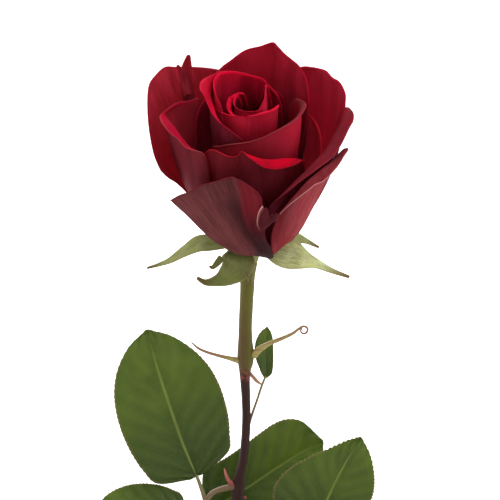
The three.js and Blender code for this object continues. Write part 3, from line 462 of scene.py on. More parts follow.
# %% Tables of petals
PETALS = [
    dict(name="petal_front_left", finish="dull", curl=50, fold=(0.61, 0.8, 0.7),
         left=[(258, 9.2, 0.2), (258.5, 14, 1.2), (254.5, 18.8, 4.4), (247, 20.9, 6.9),
               (238, 22.5, 9.3), (229, 24.4, 13.2), (221.5, 27, 17.8), (214, 30.2, 22.2)],
         right=[(288, 9.2, -0.2), (298, 14.2, -0.8), (293, 19, 3.4), (282, 25, 12), (279, 27.2, 19.2),
                (279, 28.8, 24.4), (277.5, 29.5, 28.2)],
         rim=[(214, 30.2, 22.2), (221, 29.4, 25.2), (229, 28.8, 27.7), (239, 28.4, 31.4),
              (250, 28.2, 34), (257, 28.3, 35.6), (261, 28.6, 36), (266, 29, 34.6),
              (271, 29.4, 32.6, 1.2), (275, 29.6, 30.4, 1.2), (277.5, 29.5, 28.2, 1)]),
    dict(name="petal_front_right", finish="pink", curl=140,
         left=[(330, 8.8, 0.2), (335, 13, 0.9), (340, 17.2, 5.7), (345, 21.1, 14.2),
               (350.5, 24.3, 21.8), (354, 28.2, 28.5)],
         right=[(298, 8.8, 0.1), (297, 13.8, -0.4), (291, 18.8, 4.4), (287, 23.6, 13.2),
                (289, 26.8, 20.8)],
         rim=[(354, 28.2, 28.5), (350, 30.4, 34.8, 2), (338, 29.9, 35.4, 3), (321, 29.8, 35, 5.4),
              (310, 29.8, 32.9, 7), (302, 29.4, 29.6, 7.4), (295, 28.8, 25.6, 6.4),
              (289, 26.8, 20.8, 3.4)]),
    dict(name="petal_back_outer", finish="outer", root=(97, 8.6, 0.6, 22),
         reach=9, rise=-1.8, waist=0.4, hip=0.42, curl=60,
         rim=[(132, 26.6, 22), (126, 30.6, 32, 1), (112, 31.6, 37.5, 1.5), (95, 31.8, 39.5, 1.5),
              (78, 31.6, 37.5, 1.5), (66, 30.6, 32, 1), (60, 26.6, 22)]),
    dict(name="petal_left_outer", finish="outer", curl=70, belly=-4.2, power=2.2,
         left=[(170, 8.5, 0.8), (169, 13.5, 4.2), (169.5, 17.6, 9.6), (174, 20.5, 15.4),
               (183, 23.8, 21), (193, 26.8, 25.2), (195, 29, 27.8)],
         right=[(130, 8.5, 0.8), (125, 13, 2.5), (118, 16.2, 8.2), (112, 18.8, 17), (107, 21.5, 28.3),
                (105, 25, 41), (113, 26.4, 49)],
         rim=[(195, 29, 27.8), (191, 31, 33), (186, 32.2, 39.5), (180, 32.7, 46), (172, 32.6, 52),
              (161, 31.6, 53.9), (151, 31.2, 54.2), (143, 30.4, 52.8), (132, 29.4, 51.2),
              (122, 27.6, 50.1), (113, 26.4, 49)]),
    dict(name="petal_right_back", finish="right", root=(40, 8.2, 1.0, 22),
         reach=9, rise=-0.8, waist=-1, hip=0.42, curl=60,
         rim=[(78, 24.6, 37), (66, 25.6, 46.2), (53, 27, 51.1), (45, 28.1, 52), (40, 29.2, 52),
              (35, 30, 51.8), (30, 30.6, 50.3), (25, 31.3, 50.1), (19, 31.6, 49.1), (13, 31.7, 46.7),
              (10, 30.8, 41.6), (9, 27.9, 33)]),
    dict(name="petal_right", finish="shaded_lip", root=(330, 7.6, 1.3, 22),
         reach=7.4, rise=0, waist=-4, hip=0.46, curl=150,
         rim=[(372, 27.8, 35), (367, 30, 43.8), (360, 30.9, 46.2, 2.5), (350, 30, 44.1, 4.5),
              (341, 28.4, 41, 5), (331, 27.8, 38.5, 5), (319, 27.4, 36.4, 5), (308, 27, 33.4, 4),
              (299, 26.2, 30, 3), (291, 25.2, 26.4, 2), (284, 23.4, 22), (280, 20.5, 15)]),
    dict(name="petal_left", finish="left", root=(188, 6.8, 1.7, 22),
         reach=7, rise=1.4, waist=-1.6, hip=0.5, curl=108,
         rim=[(132, 20.4, 35), (142, 20.6, 43.6), (154, 21.4, 44.6, 1), (166, 23.6, 45.6, 1.2),
              (177, 26, 45.6, 1), (184, 27.3, 45.6, 1.4), (192, 26.2, 44.6, 4.6), (202, 25.3, 43, 6.4),
              (211, 25, 41.4, 5.4), (218, 24.4, 40, 3), (226, 24.6, 40.3, 1.2), (233, 24.2, 39.8),
              (235, 22.8, 34.5)]),
    dict(name="petal_right_inner", finish="lit", root=(10, 6.9, 1.7, 16),
         reach=5.6, rise=1, waist=-0.8, hip=0.62, curl=60,
         rim=[(62, 22.6, 34), (48, 23.4, 37), (38, 24, 37.4), (27, 24, 36), (15, 23.6, 33.5),
              (4, 22.8, 29), (-6, 20.6, 22)]),
    dict(name="petal_back", finish="back", root=(68, 6.2, 1.9, 22),
         reach=5.2, rise=2, waist=0, hip=0.48, curl=50,
         rim=[(130, 18.8, 39), (124, 20.4, 49.5), (116, 21.2, 52), (107, 21.4, 53.9), (98, 21.6, 56.3),
              (91, 21.8, 57.6), (81, 22, 58.6), (71, 22.6, 60.1), (66, 22.4, 58.8), (60, 22, 57.1),
              (52, 21.8, 55.8), (43, 21.6, 54.7), (33, 21.2, 52.6), (23, 20.4, 49.2), (17, 19.8, 45),
              (13, 18.4, 38), (10, 16.8, 30)]),
    dict(name="petal_front", finish="front", root=(276, 6.0, 2.1, 22),
         reach=6, rise=2.0, waist=-0.6, hip=0.5, curl=165,
         rim=[(222, 20, 28), (226, 21.2, 36.2), (233, 21.8, 40), (239, 21.9, 41), (245, 22, 40.6, 1.4),
              (252, 22, 39.8, 1.4), (259, 22, 40, 0.9), (263, 21.6, 41.6), (268, 21.6, 40, 3.6),
              (277, 21.2, 38, 6.4), (288, 21, 37, 7.2), (301, 21, 36.6, 6), (315, 21.3, 35.4, 2.6),
              (328, 20.6, 30)]),
    dict(name="petal_back_left_inner", finish="back", root=(130, 5.5, 2.3, 22),
         reach=5, rise=4, waist=0, hip=0.5, curl=60,
         rim=[(172, 17.6, 31), (160, 18.2, 40, 1), (142, 18.4, 44, 1), (120, 18, 45, 1),
              (102, 17.6, 42, 1), (90, 16.8, 33)]),
    dict(name="petal_back_right_inner", finish="back", root=(62, 5.5, 2.3, 22),
         reach=5, rise=4, waist=0, hip=0.5, curl=60,
         rim=[(88, 17, 38), (80, 17.5, 42.5), (67, 18, 45), (57, 18, 44.5), (50, 17.6, 41.5),
              (45, 17, 37)]),
    dict(name="petal_inner_right", finish="cup", root=(305, 5.1, 2.6, 26),
         reach=5, rise=4, waist=0.2, hip=0.5, curl=110,
         rim=[(220, 15.6, 32), (225, 16.8, 38.2, 0.9), (239, 17.1, 40.2, 1.6), (253, 17.3, 41.8, 2),
              (268, 17.5, 43, 1.8), (283, 17.7, 44.5, 1.4), (295, 17.7, 45.9, 1.2),
              (309, 17.6, 47, 1.4), (322, 17.4, 47.6, 1.8), (334, 17, 47.9, 2.2),
              (346, 16.6, 48.2, 2.4), (362, 16.4, 47.6, 2), (376, 16.2, 47.1, 1.4), (390, 15.7, 45.5),
              (400, 15, 39)]),
    dict(name="petal_inner_left", finish="bright", root=(160, 4.5, 2.9, 26),
         reach=4.4, rise=5, waist=0.2, hip=0.5, curl=90,
         rim=[(270, 14, 35), (264, 14.5, 41), (250, 14.6, 44.3), (236, 14.6, 46.3),
              (219, 13.6, 47.6, 3.2), (205, 12.8, 49.2, 5), (191, 12.7, 50.8, 5.6), (170, 13, 52, 4.8),
              (153, 13.9, 52.8, 3), (142, 14.7, 53.6, 1.4), (130, 15, 54.1), (117, 14.8, 53.5),
              (103, 14.6, 52.7), (86, 14.4, 51.2), (71, 14.2, 49.5), (58, 14, 47.5), (47, 13.8, 45.3),
              (40, 13.5, 42), (35, 13, 36)]),
]

HEART_PETALS = [
    dict(root=(120, 3.6, 3, 40), reach=5, rise=8, waist=0.3, hip=0.5, curl=50,
         rim=[(222, 10.9, 44), (216, 11.2, 50), (203, 11.5, 53), (186, 11.4, 54.4, 1),
              (168, 11.4, 55.2, 1), (150, 11.4, 55.8, 1), (130, 11.6, 55.4), (110, 12, 54),
              (90, 12.2, 52.6), (74, 12.2, 51.8), (64, 12, 50.6), (56, 11.8, 46.6), (50, 11.5, 42)]),
    dict(root=(250, 3.6, 3, 40), reach=5, rise=8, waist=0, hip=0.5, curl=90,
         rim=[(180, 11.2, 43), (188, 11.6, 48), (203, 11.2, 48.2, 1.2), (218, 10.8, 48.1, 1.4),
              (236, 10.8, 48.4, 1.4), (254, 10.8, 48.6, 1), (268, 10.8, 48), (282, 10.7, 45.6),
              (290, 10.5, 40)]),
    dict(root=(310, 3.4, 3, 40), reach=4, rise=8, waist=-0.8, hip=0.5, curl=120,
         rim=[(262, 11, 43), (266, 11, 48.4, 1.2), (276, 11, 49.4, 1.6), (287, 10.9, 49.8, 1.8),
              (300, 10.7, 49.9, 1.8), (314, 10.5, 49.9, 1.8), (326, 10.3, 50.2, 1.4), (336, 9.6, 47.6),
              (350, 8.6, 43)]),
    dict(root=(165, 3.0, 3, 40), reach=3, rise=8, waist=0, hip=0.5, curl=100,
         rim=[(252, 8.2, 44), (240, 8, 46.8, 1.2), (222, 7.2, 46.8, 1.8), (200, 6.5, 47.3, 2),
              (180, 6.1, 47.9, 2), (160, 6.1, 48.7, 1.8), (140, 6.2, 49.1, 1.2), (120, 6.3, 49.4),
              (105, 6.2, 48.4), (95, 6, 44)]),
    dict(root=(10, 3.0, 3, 40), reach=3, rise=8, waist=1.8, hip=0.5, curl=40,
         rim=[(60, 7, 47), (48, 6.8, 51.4), (36, 6.3, 52.9), (14, 5, 52.3), (-12, 4.7, 50.6),
              (-38, 4.5, 48.6), (-60, 4.7, 47), (-72, 4.8, 44)]),
    dict(root=(225, 2.4, 3, 50), reach=2, rise=8, waist=0, hip=0.5, curl=60,
         rim=[(120, 5, 46), (140, 4.9, 49.4), (172, 4.9, 48.9, 0.9), (205, 5, 48.2, 0.9),
              (238, 5.1, 47.9, 0.9), (268, 5.1, 47.8, 0.9), (292, 5, 47.8, 0.9), (316, 5, 47.6),
              (330, 5, 43)]),
    dict(root=(100, 1.8, 3, 60), reach=1, rise=6, waist=0, hip=0.5, curl=20,
         rim=[(20, 3.2, 37), (60, 3.3, 40), (120, 3.2, 41.5), (180, 3, 41), (240, 2.8, 39),
              (280, 2.6, 36)]),
]

# %% From a table to a petal
SHORTEST_LIP = 0.8
TIGHTEST_ROLL = 0.8  # radius that a short lip may turn on
LEAST_CURL = 0.05  # a lip always bends a little, so that its radius stays finite
FULL_SPREAD = 16  # a side of a petal that reaches out less than this bends less
LEAST_SPREAD = 0.2  # but never less than this share of its bend
CLAW_FLARE = 2.2  # how soon a claw widens to its blade
BELOW_RIM = 0.97  # place along the blade that, with the rim, gives the way it leans there
BESIDE = 0.02  # how far to each side the rim is looked at to find its slope
CREASE_WIDTH = 0.045  # as a share of the petal's width
PETAL_THICKNESS = 0.42
PETAL_COLUMNS, PETAL_ROWS, LIP_ROWS = 60, 30, 8

for petal in PETALS + HEART_PETALS:
    petal["rim"] = [(*row, SHORTEST_LIP)[:4] for row in petal["rim"]]
print(f"{len(PETALS)} petals and {len(HEART_PETALS)} in the heart")


def blade_points(petal, across, v):
    """Azimuth, radius and height of the blade from its claw (v 0) to its rim (v 1)."""
    rim = read_curve(petal["rim"], across)[..., :3]
    azimuth, radius, height = np.moveaxis(rim, -1, 0)
    if "left" in petal:
        share, rise = across[..., None], (v ** petal.get("power", 1.5))[..., None]
        first, last = (np.array(petal["rim"][end][:3]) for end in (0, -1))
        sides = (1 - share) * read_curve(petal["left"], v) + share * read_curve(petal["right"], v)
        turn, r, z = np.moveaxis(sides + rise * (rim - (1 - share) * first - share * last), -1, 0)
        return turn, r, z + petal.get("belly", 0) * np.sin(np.pi * across) * 4 * v * (1 - v)
    root_azimuth, root_radius, root_height, half_claw = petal["root"]
    way = np.sign(petal["rim"][-1][0] - petal["rim"][0][0])
    claw = root_azimuth + half_claw * (2 * across - 1) * way
    turn = claw + (azimuth - claw) * (1 - (1 - v) ** CLAW_FLARE)
    spread = np.clip((radius - root_radius) / FULL_SPREAD, LEAST_SPREAD, 1)
    weights = [(1 - v) ** 3, 3 * v * (1 - v) ** 2, 3 * v * v * (1 - v), v**3]
    bends_r = [root_radius, root_radius + petal["reach"] * spread, radius + petal["waist"], radius]
    bends_z = [root_height, root_height + petal["rise"] * spread, height * petal["hip"], height]
    r = sum(w * b for w, b in zip(weights, bends_r))
    return turn, r, sum(w * b for w, b in zip(weights, bends_z))


def petal_points(petal, across, along):
    """Points of a petal: across 0..1 over its width, along 0..1 from claw to rim and 1..2 over the lip."""
    v = np.minimum(along, 1)
    turn, r, z = blade_points(petal, across, v)
    _, end_r, end_z = blade_points(petal, across, np.ones_like(v))
    _, below_r, below_z = blade_points(petal, across, np.full_like(v, BELOW_RIM))
    start = np.arctan2(end_r - below_r, end_z - below_z)
    lip = np.maximum(read_curve(petal["rim"], across)[..., 3], SHORTEST_LIP)
    ahead, behind = (read_curve(petal["rim"], across + step) for step in (BESIDE, -BESIDE))
    turned, outwards, upwards, _ = np.moveaxis(ahead - behind, -1, 0)
    level = np.hypot(np.radians(turned) * ahead[..., 1], outwards)
    flatness = level**2 / (level**2 + upwards**2)
    curl = np.maximum(np.minimum(np.radians(petal["curl"]), lip / TIGHTEST_ROLL) * flatness, LEAST_CURL)
    bend = curl / lip
    end = start + bend * lip * np.maximum(along - 1, 0)
    r = r + (np.cos(start) - np.cos(end)) / bend
    z = z + (np.sin(end) - np.sin(start)) / bend
    wave = petal.get("wave", 0.25) * ripple(petal["seed"], across * 3.2, along * 0.8)
    r = r + wave * smooth_step(along, 0.35, 1.0)
    if "fold" in petal:
        top, bottom, lift = petal["fold"]
        crease = np.exp(-(((across - bottom - (top - bottom) * v) / CREASE_WIDTH) ** 2))
        r = r + lift * crease * smooth_step(v, 0.3, 0.9)
    turn = np.radians(turn)
    return np.stack([r * np.cos(turn), r * np.sin(turn), z], -1)


def petal_part(petal, columns=PETAL_COLUMNS):
    """Both faces of a petal; its first face is always the inner one, whichever way its rim is drawn."""
    across = np.linspace(0, 1, columns + 1)[None, :]
    if petal["rim"][-1][0] > petal["rim"][0][0]:
        across = across[:, ::-1]
    blade, lip = np.linspace(0, 1, PETAL_ROWS + 1), 1 + np.arange(1, LIP_ROWS + 1) / LIP_ROWS
    along = np.concatenate([blade, lip])[:, None]
    grid = in_bloom(petal_points(petal, across, along))
    step = np.linalg.norm(np.diff(grid, axis=0), axis=-1)
    from_rim = np.concatenate([np.cumsum(step[::-1], 0)[::-1], np.zeros((1, columns + 1))])
    thickness = PETAL_THICKNESS * (0.55 + 0.45 * smooth_step(from_rim, 0, 3))
    return sheet_mesh(grid, thickness, across=across * 2 - 1, along=along / 2, from_rim=from_rim)


# %% [markdown]
# ## Velvet
# A red petal is velvet on its inner face: tiny domed cells soak up light and give a soft sheen. Light also
# passes through it, which is why a backlit rim glows. So the shader mixes a rough, slightly sheeny surface
# with a translucent one. Its outer face is duller, and fine veins fan out from the claw: noise that is
# stretched along the petal draws them, because its across value converges at the claw as the veins do.

# %% Petal finishes
OUTER_GLOSS = 0.04


def petal_finish(name, inside, lip, outside, streak, deep, glow, edge=(0.5, 0.05, 0.07), line=0.28,
                 fans=38, veins=0.5, bands=0.5, depth=(0.25, 0.95), hollow=None, touch=None, through=0.42):
    """A petal's material. lip is its inner face beyond the rim, whose colour paints the light and shade on
    the rolled lip, deep its colour towards the claw, painted shade where it is darker and painted light where
    it is lighter, glow what shines through it and also a painted backlit glow along the rim, and edge its
    very edge, a painted line of light that stands out as much as line says. fans is the number of veins,
    veins how strong they are outside, and bands how strong the wide dark bands are. depth is where the inner
    face turns deep on its way down, hollow the part of its width that falls into painted shade right below
    the rim, and touch a function that paints more on the outer face."""
    f = Finish(name)
    inside, lip, outside, streak, deep, glow, edge = (
        colour(*c) for c in (inside, lip, outside, streak, deep, glow, edge))
    darker = lambda c, share: [channel * share for channel in c[:3]] + [1]
    across, along = f.attribute("across"), f.attribute("along")
    side, from_rim = f.attribute("side"), f.attribute("from_rim")
    outer_face = side.between(0.4, 0.6)
    wander = f.noise(90, 2.0) * 2.4
    ridge = f.fine_lines(across * fans + wander, along * 7, side * 3, 5)
    blotch = f.noise(130, 4.0)
    wide = f.at(across * 5 + wander * 0.6, along * 3, side * 5)
    band = f.noise(1.0, 2.0, wide).between(0.38, 0.62)
    shade = f.mix(blotch.between(0.35, 0.7), inside, darker(inside, 0.72))
    shade = f.mix(ridge * 0.35, shade, deep)
    # Towards the claw the inner face turns to deep: painted shade where deep is darker, painted light where
    # it is lighter.
    shade = f.mix((1 - along * 2).between(*depth), shade, deep)
    # The rolled lip gets its own colour: painted light and shade on the lip.
    shade = f.mix(along.between(0.47, 0.58), shade, f.mix(ridge * 0.3, lip, darker(lip, 0.6)))
    # Painted shade in the hollow just below the rim.
    if hollow:
        shaded = across.between(*hollow) * (1 - along * 2).between(0.02, 0.16)
        shade = f.mix(shaded * 0.85, shade, darker(deep, 0.6))
    dull = f.mix(blotch.between(0.3, 0.75), outside, darker(outside, 0.66))
    dull = f.mix(ridge * (1 - along * 0.6) * veins, dull, streak)
    if touch:
        dull = touch(f, across, along, dull)
    both = f.mix(outer_face, shade, dull)
    both = f.mix(band * bands, both, f.mix(outer_face, darker(inside, 0.42), darker(outside, 0.5)))
    # Painted light along the rim: the glow colour within 0.9 mm, a painted backlit glow, and the edge colour
    # within 0.3 mm, a painted line of light.
    both = f.mix((1 - from_rim / 0.9).between(0, 1) * 0.4, both, glow)
    both = f.mix((1 - from_rim / 0.3).between(0, 1) * line, both, edge)
    rough = f.noise(900, 2.0) * 0.12 + 0.46
    relief = f.bump(ridge * 0.7 + f.noise(2600, 1.0) * 0.3, 0.5, 0.0003)
    skin = f.skin({
        "Base Color": both, "Roughness": rough, "Normal": relief, "Specular IOR Level": 0.01,
        "Coat Weight": outer_face * OUTER_GLOSS, "Coat Roughness": 0.42, "Coat IOR": 1.4,
        "Sheen Weight": 0.03, "Sheen Roughness": 0.4, "Sheen Tint": colour(1.0, 0.2, 0.28)})
    light = f.mix(ridge * 0.35, glow, darker(glow, 0.6))
    return f.surface(f.backlit(through, skin, {"Color": light, "Normal": relief}))


def lit_side(f, across, along, dull):
    """The right front petal's outer face: dusky near its rolled margin, and paler towards its foot, a painted
    highlight.
    """
    blur = f.noise(60, 3.0) * 0.3
    dusky = (across * 0.5 + 0.5 + blur).between(0.5, 1.1) * along.between(0.1, 0.4)
    dull = f.mix(dusky * 0.75, dull, colour(0.07, 0.008, 0.013))
    return f.mix((1 - (along * 2 + blur).between(0.2, 0.6)) * 0.5, dull, colour(0.27, 0.07, 0.075))


def low_band(f, across, along, dull):
    """A darker brownish band under the rim of the cup, stronger on its left."""
    blur = f.noise(70, 3.0) * 0.08
    band = (along + blur).between(0.38, 0.47) * (1 - across.between(-0.3, 0.5))
    return f.mix(band * 0.7, dull, colour(0.12, 0.016, 0.02))


def painted_shade_and_sheen(f, across, along, dull):
    """The front petal's outer face: painted shade in its middle and low on its right, redder beyond the fold,
    and a painted greyish sheen along its left.
    """
    blur = f.noise(45, 3.0)
    dark = (across + blur * 0.8).between(-0.05, 0.7) * (along * -2 + 1 + blur * 0.5).between(0.15, 0.7)
    dull = f.mix(dark * 0.94, dull, colour(0.02, 0.006, 0.007))
    red = (across - along * 0.3 + blur * 0.3).between(0.08, 0.45) * along.between(0.2, 0.42)
    dull = f.mix(red * 0.8, dull, colour(0.18, 0.008, 0.017))
    return f.mix((1 - across.between(-1.0, 0.2)) * 0.25, dull, colour(0.18, 0.05, 0.052))


# Each petal has its own copy of these colours: partly its own red, partly lighter or darker by how the light
# falls on it there, painted light and shade. lit and bright are the copies for petals in light.
RED_BACK = dict(outside=(0.2, 0.014, 0.026), streak=(0.25, 0.035, 0.045))
DARK_BACK = dict(lip=(0.4, 0.014, 0.036), outside=(0.14, 0.012, 0.022), streak=(0.2, 0.028, 0.04),
                 edge=(0.6, 0.006, 0.04), line=0.6)
ROLLED = dict(lip=(0.8, 0.003, 0.036), edge=(0.7, 0.02, 0.06), veins=0.35)
PETAL_FINISHES = {
    "outer": dict(RED_BACK, inside=(0.26, 0.02, 0.038), lip=(0.3, 0.014, 0.034), deep=(0.92, 0.07, 0.11),
                  glow=(0.52, 0.012, 0.034), bands=0.3),
    "lit": dict(RED_BACK, inside=(0.98, 0.05, 0.11), lip=(0.6, 0.02, 0.05), deep=(0.95, 0.05, 0.1),
                glow=(0.95, 0.02, 0.06), through=0.5, bands=0.15),
    "dull": dict(inside=(0.3, 0.012, 0.02), lip=(0.2, 0.02, 0.025), outside=(0.062, 0.008, 0.01),
                 streak=(0.27, 0.08, 0.082), deep=(0.075, 0.012, 0.016), glow=(0.16, 0.008, 0.014),
                 edge=(0.2, 0.02, 0.03), veins=0.7, through=0.12, touch=painted_shade_and_sheen, fans=80, line=0.35,
                 bands=0.25),
    "corner": dict(inside=(0.09, 0.012, 0.018), lip=(0.09, 0.012, 0.018), outside=(0.04, 0.007, 0.009),
                   streak=(0.16, 0.05, 0.05), deep=(0.06, 0.009, 0.013), glow=(0.4, 0.1, 0.1),
                   edge=(0.7, 0.36, 0.34), through=0.12, line=0.6),
    "pink": dict(inside=(0.25, 0.024, 0.035), lip=(0.2, 0.024, 0.032), outside=(0.29, 0.007, 0.018),
                 streak=(0.6, 0.11, 0.12), deep=(0.2, 0.018, 0.026), glow=(0.3, 0.006, 0.02),
                 edge=(0.8, 0.46, 0.42), veins=0.65, through=0.26, touch=lit_side, fans=64, line=0.45),
    # The right petal: a dark lip, painted shade on the rolled lip, and a light deep, painted light towards
    # its claw.
    "shaded_lip": dict(inside=(0.6, 0.028, 0.055), lip=(0.19, 0.018, 0.03), outside=(0.165, 0.009, 0.025),
                  streak=(0.3, 0.06, 0.075), deep=(0.85, 0.04, 0.07), glow=(0.34, 0.012, 0.026),
                  edge=(0.4, 0.09, 0.1)),
    "left": dict(inside=(0.72, 0.045, 0.08), lip=(0.46, 0.004, 0.032), outside=(0.13, 0.014, 0.024),
                 streak=(0.22, 0.035, 0.045), deep=(0.75, 0.045, 0.075), glow=(0.46, 0.012, 0.032),
                 edge=(0.5, 0.18, 0.18), bands=0.3),
    "back": dict(DARK_BACK, inside=(0.4, 0.018, 0.042), deep=(0.5, 0.024, 0.045), glow=(0.5, 0.006, 0.028)),
    "right": dict(DARK_BACK, inside=(0.45, 0.025, 0.055), deep=(0.78, 0.06, 0.13), glow=(0.58, 0.024, 0.07),
                  bands=0.35),
    "front": dict(inside=(0.5, 0.016, 0.04), lip=(0.64, 0.002, 0.022), outside=(0.155, 0.016, 0.026),
                  streak=(0.2, 0.026, 0.035), deep=(0.6, 0.03, 0.05), glow=(0.56, 0.004, 0.025),
                  edge=(0.4, 0.03, 0.05)),
    "cup": dict(inside=(0.34, 0.012, 0.026), lip=(0.15, 0.02, 0.027), outside=(0.68, 0.014, 0.05),
                streak=(0.72, 0.04, 0.07), deep=(0.3, 0.01, 0.02), glow=(0.36, 0.008, 0.024),
                edge=(0.4, 0.12, 0.12), through=0.34, touch=low_band, bands=0.25),
    "bright": dict(inside=(0.34, 0.012, 0.032), lip=(0.66, 0.003, 0.032), outside=(0.14, 0.011, 0.022),
                   streak=(0.2, 0.022, 0.035), deep=(0.16, 0.008, 0.014), glow=(0.46, 0.004, 0.028),
                   edge=(0.6, 0.02, 0.05), through=0.3),
    # heart: a nearly black deep and hollow, painted shade down inside the heart. core: a darker copy for the
    # inner heart petals and the core, painted deeper shade.
    "heart": dict(ROLLED, inside=(0.5, 0.008, 0.034), outside=(0.66, 0.016, 0.05), streak=(0.7, 0.035, 0.08),
                  deep=(0.04, 0.003, 0.005), glow=(0.6, 0.004, 0.03), through=0.32, depth=(0.08, 0.4),
                  hollow=(-0.1, 0.35)),
    "core": dict(ROLLED, inside=(0.16, 0.004, 0.01), outside=(0.6, 0.012, 0.045), streak=(0.6, 0.03, 0.07),
                 deep=(0.02, 0.002, 0.003), glow=(0.4, 0.004, 0.02), through=0.14, depth=(0.01, 0.12)),
}
FINISH = {name: petal_finish("petal_" + name, **values) for name, values in PETAL_FINISHES.items()}
print("petal finishes:", list(FINISH))

# %% The petals
FLAP_LEFT = [(14, -34, 274.5), (13, -36, 277), (13, -37.5, 279.5), (13.5, -39.5, 282), (14.5, -41, 284)]
FLAP_RIGHT = [(14.5, -34, 274.5), (16, -37, 276.5), (17.5, -39, 278.5), (19, -40.5, 280), (19.5, -41, 282)]


def flap_part():
    """The small corner of the front petal that is folded over, notched at its top."""
    t, s = np.linspace(0, 1, 25)[:, None], np.linspace(0, 1, 21)[None, :]
    left, right = read_curve(FLAP_LEFT, t[:, 0])[:, None], read_curve(FLAP_RIGHT, t[:, 0])[:, None]
    grid = left + (right - left) * s[..., None]
    grid[..., 2] -= t**3 * (1.8 * np.exp(-(((s - 0.5) / 0.13) ** 2)) + 1.1 * s + 0.5 * np.sin(19 * s))
    grid[..., 1] -= 1.3 * np.sin(np.pi * s) * (0.3 + 0.7 * t)
    edge = np.minimum(s * 4.5, (1 - s) * 6 + 0.45) + 0 * t
    return sheet_mesh(grid, PETAL_THICKNESS, across=s * 0.4, along=0.12 + 0.25 * t, from_rim=edge)


for number, petal in enumerate(PETALS):
    petal["seed"] = number + 3
    parts = [with_material(petal_part(petal))]
    if petal["name"] == "petal_front_left":
        parts.append(with_material(flap_part(), 1))
    finishes = [FINISH[petal["finish"]], FINISH["corner"]][:len(parts)]
    make_piece(petal["name"] + "_skin", parts, finishes, [petal["name"]])

# %% [markdown]
# ## The heart of the bloom
# Seven narrow petals are rolled round each other there, so tightly that only their rims show. They are one
# grown piece on a small core that fills the space between their claws.

# %% The heart
HEART_COLUMNS = 40
BRIGHT_HEART_PETALS = 3  # the ones inside these get the darker core finish: painted deeper shade
HEART_CORE = [(0.2, 2.4), (3, 2.4), (3.9, 3.6), (3.6, 9), (2.2, 20), (1.6, 40), (0.2, 43)]


def turned_mesh(rows, steps, sides):
    """A shape turned on the lathe in the bloom's frame, closed at both ends by one corner on its axis."""
    profile = read_curve(rows, np.linspace(0, 1, steps))
    turn = np.linspace(0, 2 * np.pi, sides, endpoint=False)
    rings = np.stack([profile[:, :1] * np.cos(turn), profile[:, :1] * np.sin(turn),
                      np.repeat(profile[:, 1:], sides, 1)], -1)
    count = len(profile)
    index = np.arange(count * sides).reshape(count, sides)
    nxt = np.roll(index, -1, axis=1)
    faces = np.stack([index[:-1], nxt[:-1], nxt[1:], index[1:]], -1).reshape(-1, 4).tolist()
    ends = np.array([[0, 0, profile[0, 1]], [0, 0, profile[-1, 1]]])
    faces += [[nxt[0, k], index[0, k], count * sides] for k in range(sides)]
    faces += [[index[-1, k], nxt[-1, k], count * sides + 1] for k in range(sides)]
    return in_bloom(np.concatenate([rings.reshape(-1, 3), ends])), faces, {}


for number, petal in enumerate(HEART_PETALS):
    petal.update(seed=number + 40, wave=0.1)
heart_parts = [with_material(turned_mesh(HEART_CORE, 40, 32), 1)]
for number, petal in enumerate(HEART_PETALS):
    heart_parts.append(with_material(petal_part(petal, HEART_COLUMNS), int(number >= BRIGHT_HEART_PETALS)))
make_piece("heart_petals", heart_parts, [FINISH["heart"], FINISH["core"]], ["heart"])

# %% [markdown]
# ## The petaloid
# A stamen that has half turned into a petal stands up on the left: a narrow folded blade with a second,
# lower tip beside it. Two ribbons with a deep fold make it.

# %% The petaloid
PETALOID_FOLD = 0.5
PETALOID_ROUTE = [(-6.1, 4.0, 1.5), (-8.8, 6.1, 3.2), (-11.9, 8.3, 7.2), (-15.7, 11.1, 16),
                  (-18.6, 13.6, 27), (-19.8, 15, 38), (-20.2, 15.8, 45), (-20.7, 16, 53.5), (-19.9, 15, 59.2)]
PETALOID_HALF_WIDTH = [1, 1.1, 1.2, 1.4, 1.7, 2.0, 2.1, 1.8, 0.5]
SECOND_TIP_ROUTE = [(-20.4, 15.4, 45), (-21.2, 15.6, 49), (-22.4, 15.7, 52.6), (-23.6, 15.8, 55.2)]
SECOND_TIP_HALF_WIDTH = [1.3, 1.2, 0.8, 0.3]


def folded_blade(route, widths, face, columns, rows):
    """A narrow folded petal in the bloom's frame."""
    width = lambda t: read_curve(widths, t)[..., 0]
    grid, reach, t = ribbon(
        in_bloom(route), turned_to_bloom(face), width, width, columns, rows, PETALOID_FOLD)
    across = reach[None, :]
    return sheet_mesh(grid, PETAL_THICKNESS, across=across, along=t[:, None] * 0.5,
                      from_rim=(1 - np.abs(across)) * 1.4)


petaloid = [with_material(folded_blade(PETALOID_ROUTE, PETALOID_HALF_WIDTH, (0.1, -1, 0.2), 12, 80)),
            with_material(folded_blade(SECOND_TIP_ROUTE, SECOND_TIP_HALF_WIDTH, (0.3, -0.9, 0.1), 8, 30))]
make_piece("petaloid_blade", petaloid, [FINISH["outer"]], ["petaloid"])

# %% [markdown]
# ## Hip and sepals
# Under the petals sits the green hip with five sepals, long pointed leaves that have folded back. They are
# wide at the root and end in a thin tail, their upper side is pale and woolly, and some carry small side
# lobes. The hip is turned on a lathe, and each sepal is a ribbon.

